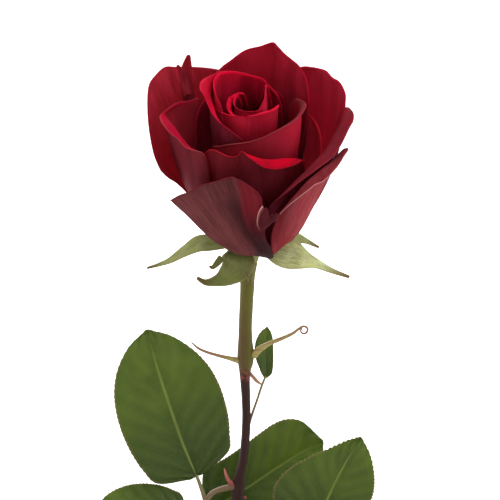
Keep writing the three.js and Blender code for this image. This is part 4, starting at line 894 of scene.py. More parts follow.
# %% Hip and sepals
HIP_PROFILE = [(0.3, -8.6), (2.5, -8.4), (3.0, -7), (3.9, -4.8), (4.5, -3.2), (6.2, -2.2), (9.1, -1.7),
               (9.2, -1.0), (7.2, 0.2), (5, 1.3), (3.2, 1.9), (0.3, 2.0)]
# pale is how pale a sepal's upper side is: partly its own woolly colour, partly painted light, palest on the
# front right sepal that the light falls on.
SEPALS = [
    dict(face=(-0.2, -0.5, 1), face_end=(0, -0.9, 1), half=3, pale=0.3,
         route=[(-7.6, 0, -1.7), (-13.2, 0, -1.8), (-17.2, 0, -2.2), (-21.5, 0, -4.8), (-26.5, 0, -8.3),
                (-30.5, 0, -10), (-34, 0, -11.2)]),
    dict(face=(0.1, -0.5, 1), face_end=(0.4, -1, 0.5), half=5.3, pale=0,
         route=[(-3.4, -6.6, -1.7), (-3.6, -9.8, -2.3), (-4.4, -10.9, -4.4), (-6.2, -11, -6.8),
                (-9, -11, -9.1), (-12, -11.2, -10.2), (-14.8, -11.6, -10.2), (-17.2, -12, -8.4)]),
    dict(face=(0.1, -0.8, 1), face_end=(0.1, -0.7, 1), half=5.2, pale=1.2,
         route=[(6.8, -3.4, -1.5), (11.1, -6.5, -1.9), (14.4, -8, -2.4), (17.7, -8.6, -3.4),
                (21.6, -8.6, -4.8), (26.3, -8.2, -7.5), (32.6, -8, -10.2)]),
    dict(face=(0.3, -0.2, 1), face_end=(0.2, -0.8, 1), half=3.8, pale=0.25,
         route=[(5.6, 4.9, -1.5), (9.5, 7.6, -2.6), (13.3, 9, -4.2), (17, 10, -5.6), (19.7, 10.5, -7.1),
                (23, 11, -9.2)]),
    dict(face=(0, 0.2, 1), face_end=(0, 0, 1), half=4.8, pale=0.5,
         route=[(-2.6, 7.1, -1.5), (-4.4, 12, -2.2), (-6, 17, -4.6), (-7.4, 21, -7.4), (-8.4, 25, -9.4)]),
]
SEPAL_OUTLINE = [0.7, 1, 0.96, 0.64, 0.32, 0.17, 0.07]
SIDE_LOBES = [  # in millimetres of the whole rose, on the front sepal
    ([(1.2, -12.6, 261.4), (-0.2, -13.2, 259.6), (-1.6, -13.6, 258.3), (-2.6, -13.8, 258.6)], 0.9),
    ([(9.4, -13.4, 257.6), (10.2, -14.2, 256), (10.6, -14.6, 254.2), (10.1, -14.8, 252.6)], 1.2)]
LOBE_OUTLINE = [1, 1.1, 0.8, 0.5, 0.2]
SEPAL_FOLD, LOBE_FOLD = 0.16, 0.3
SEPAL_SEED = 60  # the down follows the same ripples as the blades
LEAF_THICKNESS = 0.45


def sepal_grid(number):
    """One sepal's grid: its margins bend down and its blade is a little wavy."""
    sepal = SEPALS[number]
    width = lambda t: sepal["half"] * read_curve(SEPAL_OUTLINE, t)[..., 0]

    def curl(across, along, half):
        waves = ripple(SEPAL_SEED + number, across * 0.8, along * 4)
        return -0.12 * half * np.abs(across) ** 3 + 0.25 * waves * (1 - along * 0.5)

    face, face_end = turned_to_bloom(sepal["face"]), turned_to_bloom(sepal["face_end"])
    return ribbon(in_bloom(sepal["route"]), face, width, width, 20, 70, SEPAL_FOLD, face_end, curl)


def sepal_part(number):
    grid, reach, t = sepal_grid(number)
    pale = SEPALS[number]["pale"]
    return sheet_mesh(grid, LEAF_THICKNESS, across=reach[None, :], along=t[:, None], pale=pale)


def lobe_part(route, half):
    width = lambda t: half * read_curve(LOBE_OUTLINE, t)[..., 0]
    grid, reach, t = ribbon(route, (0.3, -1, 0.2), width, width, 8, 24, LOBE_FOLD)
    return sheet_mesh(grid, LEAF_THICKNESS, across=reach[None, :], along=0.4 + 0.6 * t[:, None])


def sepal_finish():
    f = Finish("sepal_green")
    across, along, side = f.attribute("across"), f.attribute("along"), f.attribute("side")
    ridge = f.fine_lines(across * 16, along * 4, side * 2, 7)
    mottled, patches, pale = f.noise(260, 3.0), f.noise(90, 3.0), f.attribute("pale")
    dark = f.mix(mottled, colour(0.05, 0.05, 0.01), colour(0.11, 0.1, 0.026))
    light = f.mix(mottled, colour(0.5, 0.6, 0.08), colour(0.9, 0.98, 0.3))
    # Each sepal's own paleness, partly painted light on the sepal that the light falls on.
    green = f.mix(pale, dark, light)
    green = f.mix(patches.between(0.45, 0.62) * 0.7, green, colour(0.14, 0.18, 0.022))
    stripe = (1 - abs(across)).between(0.3, 0.95) * patches.between(0.35, 0.6)
    green = f.mix(stripe * (1 - ridge) * 0.75, green, colour(0.075, 0.115, 0.014))
    green = f.mix(ridge * 0.9, green, f.mix(pale, colour(0.26, 0.26, 0.1), colour(1.0, 1.0, 0.6)))
    green = f.mix(abs(across).between(0.8, 1.0) * 0.5, green, colour(0.28, 0.2, 0.1))
    green = f.mix(along.between(0.7, 1.0), green, colour(0.17, 0.08, 0.035))
    down = f.bump(f.noise(1500, 2.0) * 0.6 + ridge, 0.5, 0.0002)
    skin = f.skin({
        "Base Color": green, "Roughness": mottled * 0.2 + 0.5, "Normal": down,
        "Sheen Weight": 0.02, "Sheen Roughness": 0.5, "Sheen Tint": colour(0.9, 0.95, 0.6),
        "Specular IOR Level": 0.12})
    return f.surface(f.backlit(0.3, skin, {"Color": colour(0.3, 0.36, 0.06)}))


SEPAL_GREEN = sepal_finish()
calyx_parts = [with_material(turned_mesh(HIP_PROFILE, 60, 48))]
calyx_parts += [with_material(sepal_part(number)) for number in range(len(SEPALS))]
calyx_parts += [with_material(lobe_part(*lobe)) for lobe in SIDE_LOBES]
make_piece("hip_and_sepals", calyx_parts, [SEPAL_GREEN], ["calyx"])

# %% [markdown]
# ## The stem
# The stem is a rod that swells where leaves once sat. It is smooth and green close to the bloom, and turns
# purple brown below the first node. A table of places and radii gives its shape, and small ripples keep it
# from looking like turned metal.

# %% The stem
VASE_FLOOR = 7
STEM_ROUTE = [(10.6, -1.55, 257.4, 2.5), (9.8, -0.5, 252.8, 2.5), (9.6, -0.5, 247.7, 2.35),
              (9.1, -1, 237.5, 2.25), (9.0, -1.4, 231.5, 2.35), (9.1, -2, 226.8, 2.75),
              (9.1, -2.2, 223.4, 2.6), (8.9, -2.2, 219, 1.8), (9.2, -2.2, 212, 1.5), (9.4, -2.2, 205, 1.45),
              (9.1, -2.2, 197, 1.46), (8.3, -2.2, 189.4, 1.5), (7.2, -2.2, 184.5, 1.7),
              (6.6, -2.2, 180.3, 2.15), (6.4, -2.2, 175, 2.05), (6.1, -2.2, 170, 2.2), (5, -1.9, 158, 1.95),
              (3.8, -1.4, 130, 2), (2.5, -0.9, 90, 2.1), (1.2, -0.4, 50, 2.2),
              (0.2, 0, VASE_FLOOR + 0.3, 2.3)]
RISING_PRICKLE = [(5.6, -2.6, 180.2, 1.1), (3.8, -3.6, 182.2, 0.75), (2.7, -4.4, 184.6, 0.5),
                  (2, -5, 187.2, 0.2)]
PRICKLES = [(176, 60, 3.8), (166, 205, 4.2)]  # height, direction round the stem, length


def stem_at(height):
    t = np.linspace(0, 1, 2000)
    rows = read_curve(STEM_ROUTE, t)
    return rows[np.argmin(np.abs(rows[:, 2] - height))]


def prickle_route(height, azimuth, length):
    x, y, z, radius = stem_at(height)
    out = np.array([np.cos(np.radians(azimuth)), np.sin(np.radians(azimuth)), 0])
    root = np.array([x, y, z]) + out * radius * 0.35
    rows = [(0, 0, length * 0.36), (radius * 0.65 + length * 0.35, length * -0.1, length * 0.17),
            (radius * 0.65 + length, length * -0.35, 0.22)]
    return [(*(root + out * reach + np.array([0, 0, rise])), thick) for reach, rise, thick in rows]


def stem_finish():
    """Olive above the upper node, purple brown below it, pale under water. Heights are in millimetres."""
    f = Finish("stem_skin")
    height = f.part(f.place(), "Z") / MM
    sideways = f.part(f.place(), "X") / MM
    stretched = f.node("ShaderNodeMapping", {}, {"Vector": f.place(), "Scale": (1, 1, 0.09)})
    grain = f.noise(1500, 3.0, stretched)
    spots = f.noise(700, 1.0)
    olive = f.mix(sideways.between(7.6, 11.6), colour(0.095, 0.058, 0.021), colour(0.088, 0.09, 0.009))
    olive = f.mix(height.between(228, 262), olive, colour(0.13, 0.125, 0.016))
    olive = f.mix(grain * 0.5, olive, colour(0.04, 0.024, 0.007))
    purple = f.mix(grain, colour(0.016, 0.004, 0.003), colour(0.036, 0.012, 0.009))
    skin = f.mix(height.between(217, 223.5), purple, olive)
    at_node = height.between(216, 219.5) * (1 - height.between(219.5, 223))
    rosy = at_node * spots.between(0.4, 0.6)
    skin = f.mix(rosy * 0.8, skin, colour(0.22, 0.05, 0.035))
    pale = f.mix((1 - height.between(60, 150)) * 0.8, skin, colour(0.13, 0.15, 0.04))
    relief = f.bump(grain * 0.7 + spots * 0.3, 0.4, 0.0003)
    return f.surface(f.skin({
        "Base Color": pale, "Roughness": spots * 0.2 + 0.4, "Normal": relief, "Specular IOR Level": 0.16}))


def prickle_finish():
    f = Finish("prickle_red")
    along = f.attribute("along")
    shade = f.mix(along, colour(0.13, 0.02, 0.02), colour(0.5, 0.12, 0.09))
    shade = f.mix(f.noise(1200, 2.0) * 0.4, shade, colour(0.2, 0.03, 0.025))
    return f.surface(f.skin({"Base Color": shade, "Roughness": 0.38}))


STEM_SKIN, PRICKLE_RED = stem_finish(), prickle_finish()


def uneven(turn, t):
    """Slight twisting ribs and bumps, as a factor on the stem's radius."""
    return 1 + 0.012 * np.sin(5 * turn + 9 * t) + 0.02 * ripple(7, np.cos(turn) * 0.4, t * 30)


stem_parts = [with_material(rod_mesh(STEM_ROUTE[::-1], 420, 40, uneven)),
              with_material(rod_mesh(RISING_PRICKLE, 30, 18), 1)]
for height, azimuth, length in PRICKLES:
    stem_parts.append(with_material(rod_mesh(prickle_route(height, azimuth, length), 24, 16), 1))
make_piece("stem_rod", stem_parts, [STEM_SKIN, PRICKLE_RED], ["stem"])

# %% [markdown]
# ## Leaves
# A rose leaf is compound: leaflets on a thin stalk. Each leaflet has a saw-toothed margin, a pale midrib in
# a fold, and side veins that arch towards the tip while the blade bulges between them. The teeth and the
# bulges are geometry, and the same vein value that shapes the bulges is kept on the corners, so that the
# pale vein lines of the material lie exactly in the valleys.

# %% Leaf shapes
LEAFLET_OUTLINE = [0.16, 0.72, 0.87, 0.95, 0.99, 1, 0.97, 0.89, 0.73, 0.43, 0.03]
LEAFLET_COLUMNS, LEAFLET_ROWS = 30, 200
SIDE_VEINS = 8
TEETH = 34
TOOTH_DEPTH = 0.026  # as a share of the half-width
LEAFLET_FOLD = 0.14


def vein_value(across, along):
    """Counts side veins: it grows by one from each vein to the next, and arches towards the tip."""
    return SIDE_VEINS * (along - 0.3 * np.abs(across) ** 0.85) + 0.5 * (across > 0) + 0.2


def leaflet_part(leaflet, seed, columns=LEAFLET_COLUMNS, rows=LEAFLET_ROWS, size=1.0):
    """One toothed leaflet; size scales its relief and the number of its teeth."""

    def half_width(widest, phase, outline):
        def width(t):
            saw = (t * TEETH * size + phase) % 1
            tooth = TOOTH_DEPTH * leaflet.get("teeth", 1) * (saw - 0.5) * smooth_step(t, 0.04, 0.14)
            return np.maximum(widest * (read_curve(outline, t)[..., 0] + tooth), 0.2)
        return width

    def relief(across, along, half):
        fade = smooth_step(np.abs(across), 0.02, 0.25) * (1 - smooth_step(np.abs(across), 0.75, 1))
        bulge = 0.25 * np.cos(2 * np.pi * vein_value(across, along)) * fade
        furrow = -0.35 * np.exp(-((across * half / 0.7) ** 2))
        wave = 0.5 * ripple(seed, across * 0.7, along * 2) * smooth_step(np.abs(across), 0.2, 1)
        return size * (-bulge + furrow + wave)

    left = half_width(leaflet["left"], 0, leaflet.get("left_outline", LEAFLET_OUTLINE))
    right = half_width(leaflet["right"], 0.4, LEAFLET_OUTLINE)
    grid, reach, t = ribbon(
        leaflet["route"], leaflet["face"], left, right, columns, rows, LEAFLET_FOLD,
        leaflet.get("face_end"), relief)
    across, along = reach[None, :], t[:, None]
    return sheet_mesh(grid, LEAF_THICKNESS, across=across, along=along, vein=vein_value(across, along))


LEFT_LEAF = dict(
    stalk=[(5.2, -2.9, 180.3, 1.05), (1.2, -3.5, 179.7, 1), (-2.2, -4.5, 178.4, 0.9),
           (-4.6, -6, 175, 0.9), (-6.4, -9, 169.6, 0.85), (-8.4, -15, 163.6, 0.8), (-11, -23, 157.6, 0.8),
           (-15, -33, 151.6, 0.7)],
    twigs=[
        [(-4.4, -5.6, 175.8, 0.8), (-5.4, -5.4, 179.4, 0.7), (-7.3, -5, 184.8, 0.6)],
        [(-4.4, -5.6, 175.8, 0.8), (-4, 0, 173.6, 0.7), (-3.2, 3.2, 170.6, 0.6)],
        [(-6.2, -8.6, 170.2, 0.8), (-8, -9, 169.6, 0.7), (-10.4, -9.4, 169.3, 0.6)],
        [(-6.2, -8.6, 170.2, 0.8), (-3.2, -12, 169, 0.7), (-0.4, -15, 167.6, 0.6)],
    ],
    leaflets=[
        dict(face=(0.1, -1, 0.2), face_end=(0, -1, 0.4), left=17.8, right=17.8, teeth=0.5,
             route=[(-7.3, -5, 184.6), (-11.9, -7, 196.7), (-16, -6.2, 208.8), (-20.2, -2.6, 221),
                    (-23.9, 2.5, 233.3)]),
        dict(face=(0.1, -1, 0.2), left=13, right=13,
             left_outline=[0.42, 0.95, 0.98, 0.98, 0.98, 1, 1.02, 1.03, 0.97, 0.7, 0.03],
             route=[(-3.2, 3.4, 170.4), (7.6, 6, 175.8), (17.6, 8, 182.2), (27, 9.5, 188),
                    (35.4, 10.5, 192.4)]),
        dict(face=(0, -0.9, 0.5), left=14, right=12.6,
             left_outline=[0.16, 0.56, 0.76, 0.9, 0.99, 1.03, 1.03, 0.96, 0.8, 0.47, 0.03],
             route=[(-10.2, -9.4, 169.2), (-17.6, -10.4, 170), (-26, -10.5, 170.4), (-34.6, -9.5, 169.6),
                    (-42.5, -8, 167.4)]),
        dict(face=(0.1, -0.2, 1), left=13, right=13,
             route=[(-0.6, -14.8, 167.6), (5, -24, 165), (9, -34, 160), (12, -44, 153), (14, -53, 145)]),
        dict(face=(-0.1, -0.2, 1), left=16, right=16,
             route=[(-14.8, -32.6, 151.8), (-19, -44, 149), (-23, -55, 144), (-26, -66, 137),
                    (-28, -75.9, 129)]),
    ],
)

RIGHT_LEAF = dict(
    stalk=[(7.4, -2.7, 170.6, 1.1), (14, -6, 169.4, 1), (20, -9.6, 167, 0.9), (26, -13, 163.6, 0.85),
           (33, -17, 159, 0.8), (41, -21, 154, 0.7)],
    twigs=[
        [(26, -13, 163.6, 0.8), (27.2, -12.9, 163.4, 0.7), (29, -13, 163.8, 0.6)],
        [(26, -13, 163.6, 0.8), (25.6, -15.6, 161.8, 0.7), (25, -18.4, 160, 0.6)],
    ],
    leaflets=[
        dict(face=(0.1, -1, 0.3), face_end=(0.1, -1, 0.5), left=18.5, right=13.2, teeth=1.5,
             left_outline=[0.16, 0.55, 0.85, 0.97, 0.95, 0.84, 0.68, 0.52, 0.35, 0.18, 0.02],
             route=[(29, -13, 163.4), (34, -12.5, 173.1), (38.3, -11, 182.7), (42.6, -9.5, 190.9),
                    (47.6, -8.5, 199)]),
        dict(face=(-0.1, -0.3, 1), left=13.6, right=13.6,
             route=[(25.1, -18, 160.2), (24, -28, 157), (23, -38, 151), (22.6, -47, 144), (22.6, -55, 136)]),
        dict(face=(0.2, -0.3, 1), left=15.6, right=15.6,
             route=[(40.6, -20.8, 154.2), (50, -26, 152.4), (60, -31, 149), (69, -35, 144),
                    (76.7, -38, 138)]),
    ],
)

# %% Leaf finishes
def leaf_finish():
    f = Finish("leaf_green")
    across, along, side = f.attribute("across"), f.attribute("along"), f.attribute("side")
    vein = f.attribute("vein")
    off_vein = abs(vein.maths("FRACT", vein) * 2 - 1)  # 1 on a side vein, 0 half way between two
    lines = off_vein.between(0.9, 1.0) * (1 - abs(across).between(0.6, 0.95))
    midrib = 1 - abs(across).between(0.01, 0.042)
    cells = f.node("ShaderNodeTexVoronoi", {"feature": "DISTANCE_TO_EDGE"},
                   {"Vector": f.place(), "Scale": 700})
    net = 1 - cells.between(0.02, 0.12)
    mottled = f.noise(130, 4.0)
    highlight_patch = f.noise(45, 3.0)
    from_root = along.between(0.05, 0.8)  # the blade is darkest at its root
    green = f.mix(from_root, colour(0.019, 0.033, 0.003), colour(0.08, 0.12, 0.012))
    green = f.mix(mottled.between(0.3, 0.7) * 0.55, green, colour(0.026, 0.044, 0.004))
    # Lighter patches away from the root: painted highlights.
    green = f.mix(highlight_patch.between(0.45, 0.7) * from_root * 0.3, green, colour(0.15, 0.195, 0.024))
    # Lighter between the side veins: painted light on the bulges there.
    green = f.mix((1 - off_vein) * abs(across).between(0.05, 0.3) * 0.16, green, colour(0.14, 0.19, 0.03))
    green = f.mix(net * 0.16, green, colour(0.1, 0.14, 0.02))
    green = f.mix(lines * mottled * 0.4, green, colour(0.13, 0.16, 0.03))
    pale_rib = midrib * (1 - along.between(0.75, 1.0)) * (mottled * 0.8 + 0.25)
    green = f.mix(pale_rib, green, colour(0.22, 0.26, 0.05))
    green = f.mix(abs(across).between(0.965, 1.0) * 0.6, green, colour(0.2, 0.13, 0.05))
    under = f.mix(lines + midrib, colour(0.1, 0.15, 0.06), colour(0.2, 0.26, 0.1))
    green = f.mix(side.between(0.4, 0.6), green, under)
    relief = f.bump(cells * 2 + f.noise(900, 2.0) * 0.3, 0.35, 0.0002)
    rough = side * 0.2 + mottled * 0.16 + 0.3
    skin = f.skin({
        "Base Color": green, "Roughness": rough, "Normal": relief, "Specular IOR Level": 0.24})
    return f.surface(f.backlit(0.22, skin, {"Color": colour(0.2, 0.3, 0.012)}))


def stalk_finish():
    f = Finish("leaf_stalk")
    along = f.attribute("along")
    shade = f.mix(along, colour(0.1, 0.04, 0.022), colour(0.14, 0.15, 0.035))
    shade = f.mix(f.noise(900, 3.0) * 0.7, shade, colour(0.18, 0.11, 0.045))
    return f.surface(f.skin({"Base Color": shade, "Roughness": 0.5}))


LEAF_GREEN, LEAF_STALK = leaf_finish(), stalk_finish()


def leaf_piece(name, leaf, seed, node):
    parts = [with_material(rod_mesh(leaf["stalk"], 60, 16), 1)]
    parts += [with_material(rod_mesh(twig, 20, 14), 1) for twig in leaf["twigs"]]
    parts += [with_material(leaflet_part(blade, seed + k)) for k, blade in enumerate(leaf["leaflets"])]
    make_piece(name, parts, [LEAF_GREEN, LEAF_STALK], [node])


leaf_piece("left_leaf_blades", LEFT_LEAF, 80, "leaf_left")
leaf_piece("right_leaf_blades", RIGHT_LEAF, 90, "leaf_right")

# %% [markdown]
# ## Bracts and the small leaf
# At the upper node three thin bracts have dried to orange brown; the right one ends in a curled loop. A
# single small leaf rises behind the stem on its own stalk.

# %% Bracts and the small leaf
LEFT_BRACT = [(6.8, -2.4, 224, 1.1), (3.6, -2.8, 224.9, 0.75), (0.6, -3, 225.7, 0.6),
              (-3.4, -3.4, 227, 0.5), (-6.4, -3.6, 228.4, 0.42), (-8.8, -3.8, 230.5, 0.25)]
RIGHT_BRACT = [(11.8, -2.8, 226, 1.4), (13.6, -3.2, 227.9, 1.15), (17, -3.4, 230.1, 0.8),
               (20.8, -3.6, 231.7, 0.7), (24.8, -3.6, 233.6, 0.55), (27, -3.6, 235.3, 0.45),
               (28.5, -3.6, 236, 0.4), (29.7, -3.7, 235.3, 0.38), (29.4, -3.8, 234, 0.36),
               (28.2, -3.9, 233.6, 0.34), (27.4, -4, 234.5, 0.3), (27.8, -4, 235.2, 0.26)]
LOWER_BRACT = [(10.2, -2.4, 220.2, 0.6), (11.5, -2.9, 218.6, 0.6), (12.9, -3.6, 217.2, 0.6),
               (14.2, -4, 216.3, 0.35)]
SMALL_TWIG = [(10.2, -2.2, 201.8, 0.5), (11.6, -1.9, 206.2, 0.45), (13, -0.8, 210, 0.42),
              (14.6, 0.8, 214.6, 0.42), (15.8, 1.5, 217.4, 0.4)]
SMALL_LEAFLET = dict(
    face=(0.3, -1, 0.1), left=3.6, right=2.7,
    left_outline=[0.1, 0.4, 0.62, 0.8, 0.93, 1, 1, 0.92, 0.74, 0.44, 0.03],
    route=[(15.9, 1.5, 217), (15.8, 2.6, 221.4), (15.6, 3, 226), (15.9, 3.6, 230.3), (16.4, 4, 233.8)])
SMALL_SIZE = 0.35  # its relief and teeth, against those of the large leaflets


def bract_finish(name, root, tip):
    f = Finish(name)
    along = f.attribute("along")
    stretched = f.node("ShaderNodeMapping", {}, {"Vector": f.place(), "Scale": (0.3, 1, 1)})
    grain = f.noise(1400, 3.0, stretched)
    shade = f.mix(along.between(0.05, 0.6), root, tip)
    shade = f.mix(grain.between(0.45, 0.75), shade, colour(0.2, 0.1, 0.05))
    relief = f.bump(grain, 0.4, 0.0002)
    return f.surface(f.skin({
        "Base Color": shade, "Roughness": grain * 0.2 + 0.4, "Normal": relief}))


GOLD_BRACT = bract_finish("bract_gold", colour(0.27, 0.22, 0.05), colour(0.22, 0.1, 0.05))
BROWN_BRACT = bract_finish("bract_brown", colour(0.14, 0.06, 0.04), colour(0.3, 0.15, 0.08))
for side, route, steps, sides, finish in (
        ("left", LEFT_BRACT, 60, 14, GOLD_BRACT), ("right", RIGHT_BRACT, 160, 16, GOLD_BRACT),
        ("lower", LOWER_BRACT, 40, 14, BROWN_BRACT)):
    bract = with_material(rod_mesh(route, steps, sides))
    make_piece(side + "_bract", [bract], [finish], ["bract_" + side])
small_parts = [with_material(leaflet_part(SMALL_LEAFLET, 99, 16, 70, SMALL_SIZE)),
               with_material(rod_mesh(SMALL_TWIG, 40, 12), 1)]
make_piece("small_leaf", small_parts, [LEAF_GREEN, LEAF_STALK], ["leaf_small"])

# %% [markdown]
# ## Recipes that grow geometry
# What repeats, or follows a rule, is grown by Geometry Nodes: the down along the sepals, the turned vase, the
# bubbles under water. Copies could be placed in Python too, but a tree keeps its sizes as named inputs, so
# one number changes them all. The result is turned into a plain mesh, because an export drops instances.

# %% A small language for recipes
class Recipe(Graph):
    """A Geometry Nodes tree with named inputs; kinds gives each input's type."""

    def __init__(self, name, **kinds):
        self.tree = bpy.data.node_groups.new(name, "GeometryNodeTree")
        face = self.tree.interface
        for label, kind in {"Geometry": "Geometry", "Material": "Material", **kinds}.items():
            face.new_socket(label, in_out="INPUT", socket_type="NodeSocket" + kind)
        face.new_socket("Geometry", in_out="OUTPUT", socket_type="NodeSocketGeometry")
        self.entry = self.tree.nodes.new("NodeGroupInput")

    def given(self, label):
        return Link(self, self.entry.outputs[label])

    def random_size(self, low, high):
        seed = self.given("Seed") + 1  # not the seed that places or turns the copies
        return self.node("FunctionNodeRandomValue", {}, {2: low, 3: high, "Seed": seed}, output=1)

    def done(self, geometry):
        real = self.node("GeometryNodeRealizeInstances", {}, {0: geometry})
        smooth = self.node("GeometryNodeSetShadeSmooth", {}, {0: real})
        inputs = {"Geometry": smooth, "Material": self.given("Material")}
        painted = self.node("GeometryNodeSetMaterial", {}, inputs)
        self.node("NodeGroupOutput", {}, {0: painted})
        return self


def grown(name, points, edges, faces, recipe, material, slot, replaced=(), vectors=None, **values):
    """The plain object that a recipe grows from points in millimetres, joined by edges or faces."""
    start = bpy.data.meshes.new(name + "_start")
    start.from_pydata(np.asarray(points, float) * MM, edges, faces)
    for key, rows in (vectors or {}).items():
        start.attributes.new(key, "FLOAT_VECTOR", "POINT").data.foreach_set("vector", np.ravel(rows))
    source = bpy.data.objects.new(name + "_source", start)
    studio.collection.objects.link(source)
    modifier = source.modifiers.new("grow", "NODES")
    modifier.node_group = recipe.tree
    values = {"Material": material, **values}
    for item in recipe.tree.interface.items_tree:
        if item.in_out == "INPUT" and item.name in values:
            modifier[item.identifier] = values[item.name]
    evaluated = source.evaluated_get(bpy.context.evaluated_depsgraph_get())
    mesh = bpy.data.meshes.new_from_object(evaluated)
    source.modifiers.remove(modifier)
    bpy.data.objects.remove(source)
    finished_piece(name, mesh, replaced)


# %% [markdown]
# ## Down on the sepals
# The margins of the sepals carry fine pale hairs. Real down could be particle hair, but that is lost in an
# export, so each hair is a tiny cone. The margins are curves: they are resampled at an even spacing, and a
# cone of random length stands on each point, turned to the outward direction that the margin's points keep.

# %% Down on the sepals
HAIR_TIP = 0.00001  # radius in metres


def down_recipe():
    """Hairs along margin curves, turned to the way that the margin's points keep as outward."""
    r = Recipe("margin_down", Spacing="Float", Length="Float", Thickness="Float", Spread="Float", Seed="Int")
    margin = r.node("GeometryNodeMeshToCurve", {}, {"Mesh": r.given("Geometry")})
    inputs = {"Curve": margin, "Length": r.given("Spacing")}
    spots = r.node("GeometryNodeResampleCurve", {"mode": "LENGTH"}, inputs)
    hair = r.node("GeometryNodeMeshCone", {}, {
        "Vertices": 3, "Radius Top": HAIR_TIP, "Radius Bottom": r.given("Thickness"),
        "Depth": r.given("Length")})
    outward = r.node("GeometryNodeInputNamedAttribute", {"data_type": "FLOAT_VECTOR"}, {"Name": "outward"})
    inputs = {0: (-1, -1, -1), 1: (1, 1, 1), "Seed": r.given("Seed")}
    astray = r.node("FunctionNodeRandomValue", {"data_type": "FLOAT_VECTOR"}, inputs)
    astray = r.node("ShaderNodeVectorMath", {"operation": "SCALE"}, {0: astray, "Scale": r.given("Spread")})
    way = r.node("ShaderNodeVectorMath", {"operation": "ADD"}, {0: outward, 1: astray})
    turned = r.node("FunctionNodeAlignRotationToVector", {"axis": "Z"}, {"Vector": way})
    return r.done(r.node("GeometryNodeInstanceOnPoints", {}, {
        "Points": spots, "Instance": hair, "Rotation": turned, "Scale": r.random_size(0.35, 1.0)}))


def down_finish():
    f = Finish("sepal_down")
    shade = f.mix(f.noise(400, 1.0), colour(0.4, 0.42, 0.2), colour(0.62, 0.5, 0.34))
    return f.surface(f.skin({"Base Color": shade, "Roughness": 0.6}))


margins, outward, joined = [], [], []
for number in range(len(SEPALS)):
    grid = sepal_grid(number)[0]
    for edge, beside in ((0, 2), (-1, -3)):
        line = grid[3:-1, edge]
        first = sum(map(len, margins))
        joined += [(first + k, first + k + 1) for k in range(len(line) - 1)]
        outward.append(unit(line - grid[3:-1, beside]))
        margins.append(line)
grown("sepal_down", np.concatenate(margins), joined, [], down_recipe(), down_finish(), "sepal",
      vectors={"outward": np.concatenate(outward)},
      Spacing=0.00028, Length=0.0006, Thickness=0.000035, Spread=0.5, Seed=5)

# %% [markdown]
# ## Vase and water
# The vase is clear glass, so its look is its shape: a thick foot, a thin wall, a rounded lip. It follows a
# rule, a profile turned round an axis, which Spin or a Screw modifier could do. The recipe does it with a
# grid: each row of it takes one point of the profile, each column one direction, and where the seam and
# the two poles meet, the points are merged, so the shape is closed.

# %% Vase and water
VASE_HEIGHT, FOOT_RADIUS, NECK_RADIUS, LIP_RADIUS = 160, 24, 10, 14.5
BELLY_RADIUS = 32.9  # the solid has 33; the round belly is a little slimmer so that it keeps inside its box
GLASS_WALL = 2.6
WATER_LEVEL = 112
FLAT_SIDES = 28  # of the solid vase
ROUNDNESS = np.cos(np.pi / FLAT_SIDES)  # a round piece inside the flat-sided one is this much slimmer
VASE_OUTSIDE = [(FOOT_RADIUS, 0), (FOOT_RADIUS + 2.6, 2.2), (FOOT_RADIUS + 5.6, 12), (BELLY_RADIUS, 32),
                (BELLY_RADIUS - 3.4, 54), (21, 76), (13.2, 98), (NECK_RADIUS + 0.4, 118), (NECK_RADIUS, 134),
                (NECK_RADIUS + 1.2, 148), (LIP_RADIUS, VASE_HEIGHT)]
FLOOR_CORNER = 7
INSIDE_EDGE = 1.3  # how far below the top the inner wall ends, where the rounded lip begins
MERGE_DISTANCE = 0.000001  # in metres, closes the seam and the poles


def outside_radius(height):
    rows = read_curve(VASE_OUTSIDE, np.linspace(0, 1, 4000))
    return np.interp(height, rows[:, 1], rows[:, 0])


def inside_profile(gap, top, steps):
    """The inner wall from the floor up to a height, moved in by a gap."""
    corner_height = VASE_FLOOR + FLOOR_CORNER
    corner_radius = outside_radius(corner_height) - GLASS_WALL - FLOOR_CORNER
    turn = np.linspace(0, np.pi / 2, 12)[:-1]
    reach = FLOOR_CORNER - gap
    corner = np.stack([corner_radius + reach * np.sin(turn), corner_height - reach * np.cos(turn)], -1)
    heights = np.linspace(corner_height, top, steps)
    wall = np.stack([outside_radius(heights) - GLASS_WALL - gap, heights], -1)
    return np.concatenate([corner, wall])


outside = read_curve(VASE_OUTSIDE, np.linspace(0, 1, 90))[:-2]
inside = inside_profile(0, VASE_HEIGHT - INSIDE_EDGE, 70)
lip_turn = np.linspace(0, np.pi, 12)
lip_centre = (outside[-1] + inside[-1]) / 2
lip_half = np.linalg.norm(outside[-1] - inside[-1]) / 2
lip = lip_centre + lip_half * np.stack([np.cos(lip_turn), np.sin(lip_turn)], -1)
foot = np.array([(0, 0.8), (14, 0.7), (19, 0.3), (21.5, 0)])  # hollow, so that the vase stands on a ring
glass_profile = np.concatenate([foot, outside, lip[1:-1], inside[::-1], [(0, VASE_FLOOR)]])
glass_profile[:, 0] *= ROUNDNESS
print("vase profile:", len(glass_profile), "points, top", round(glass_profile[:, 1].max(), 2))


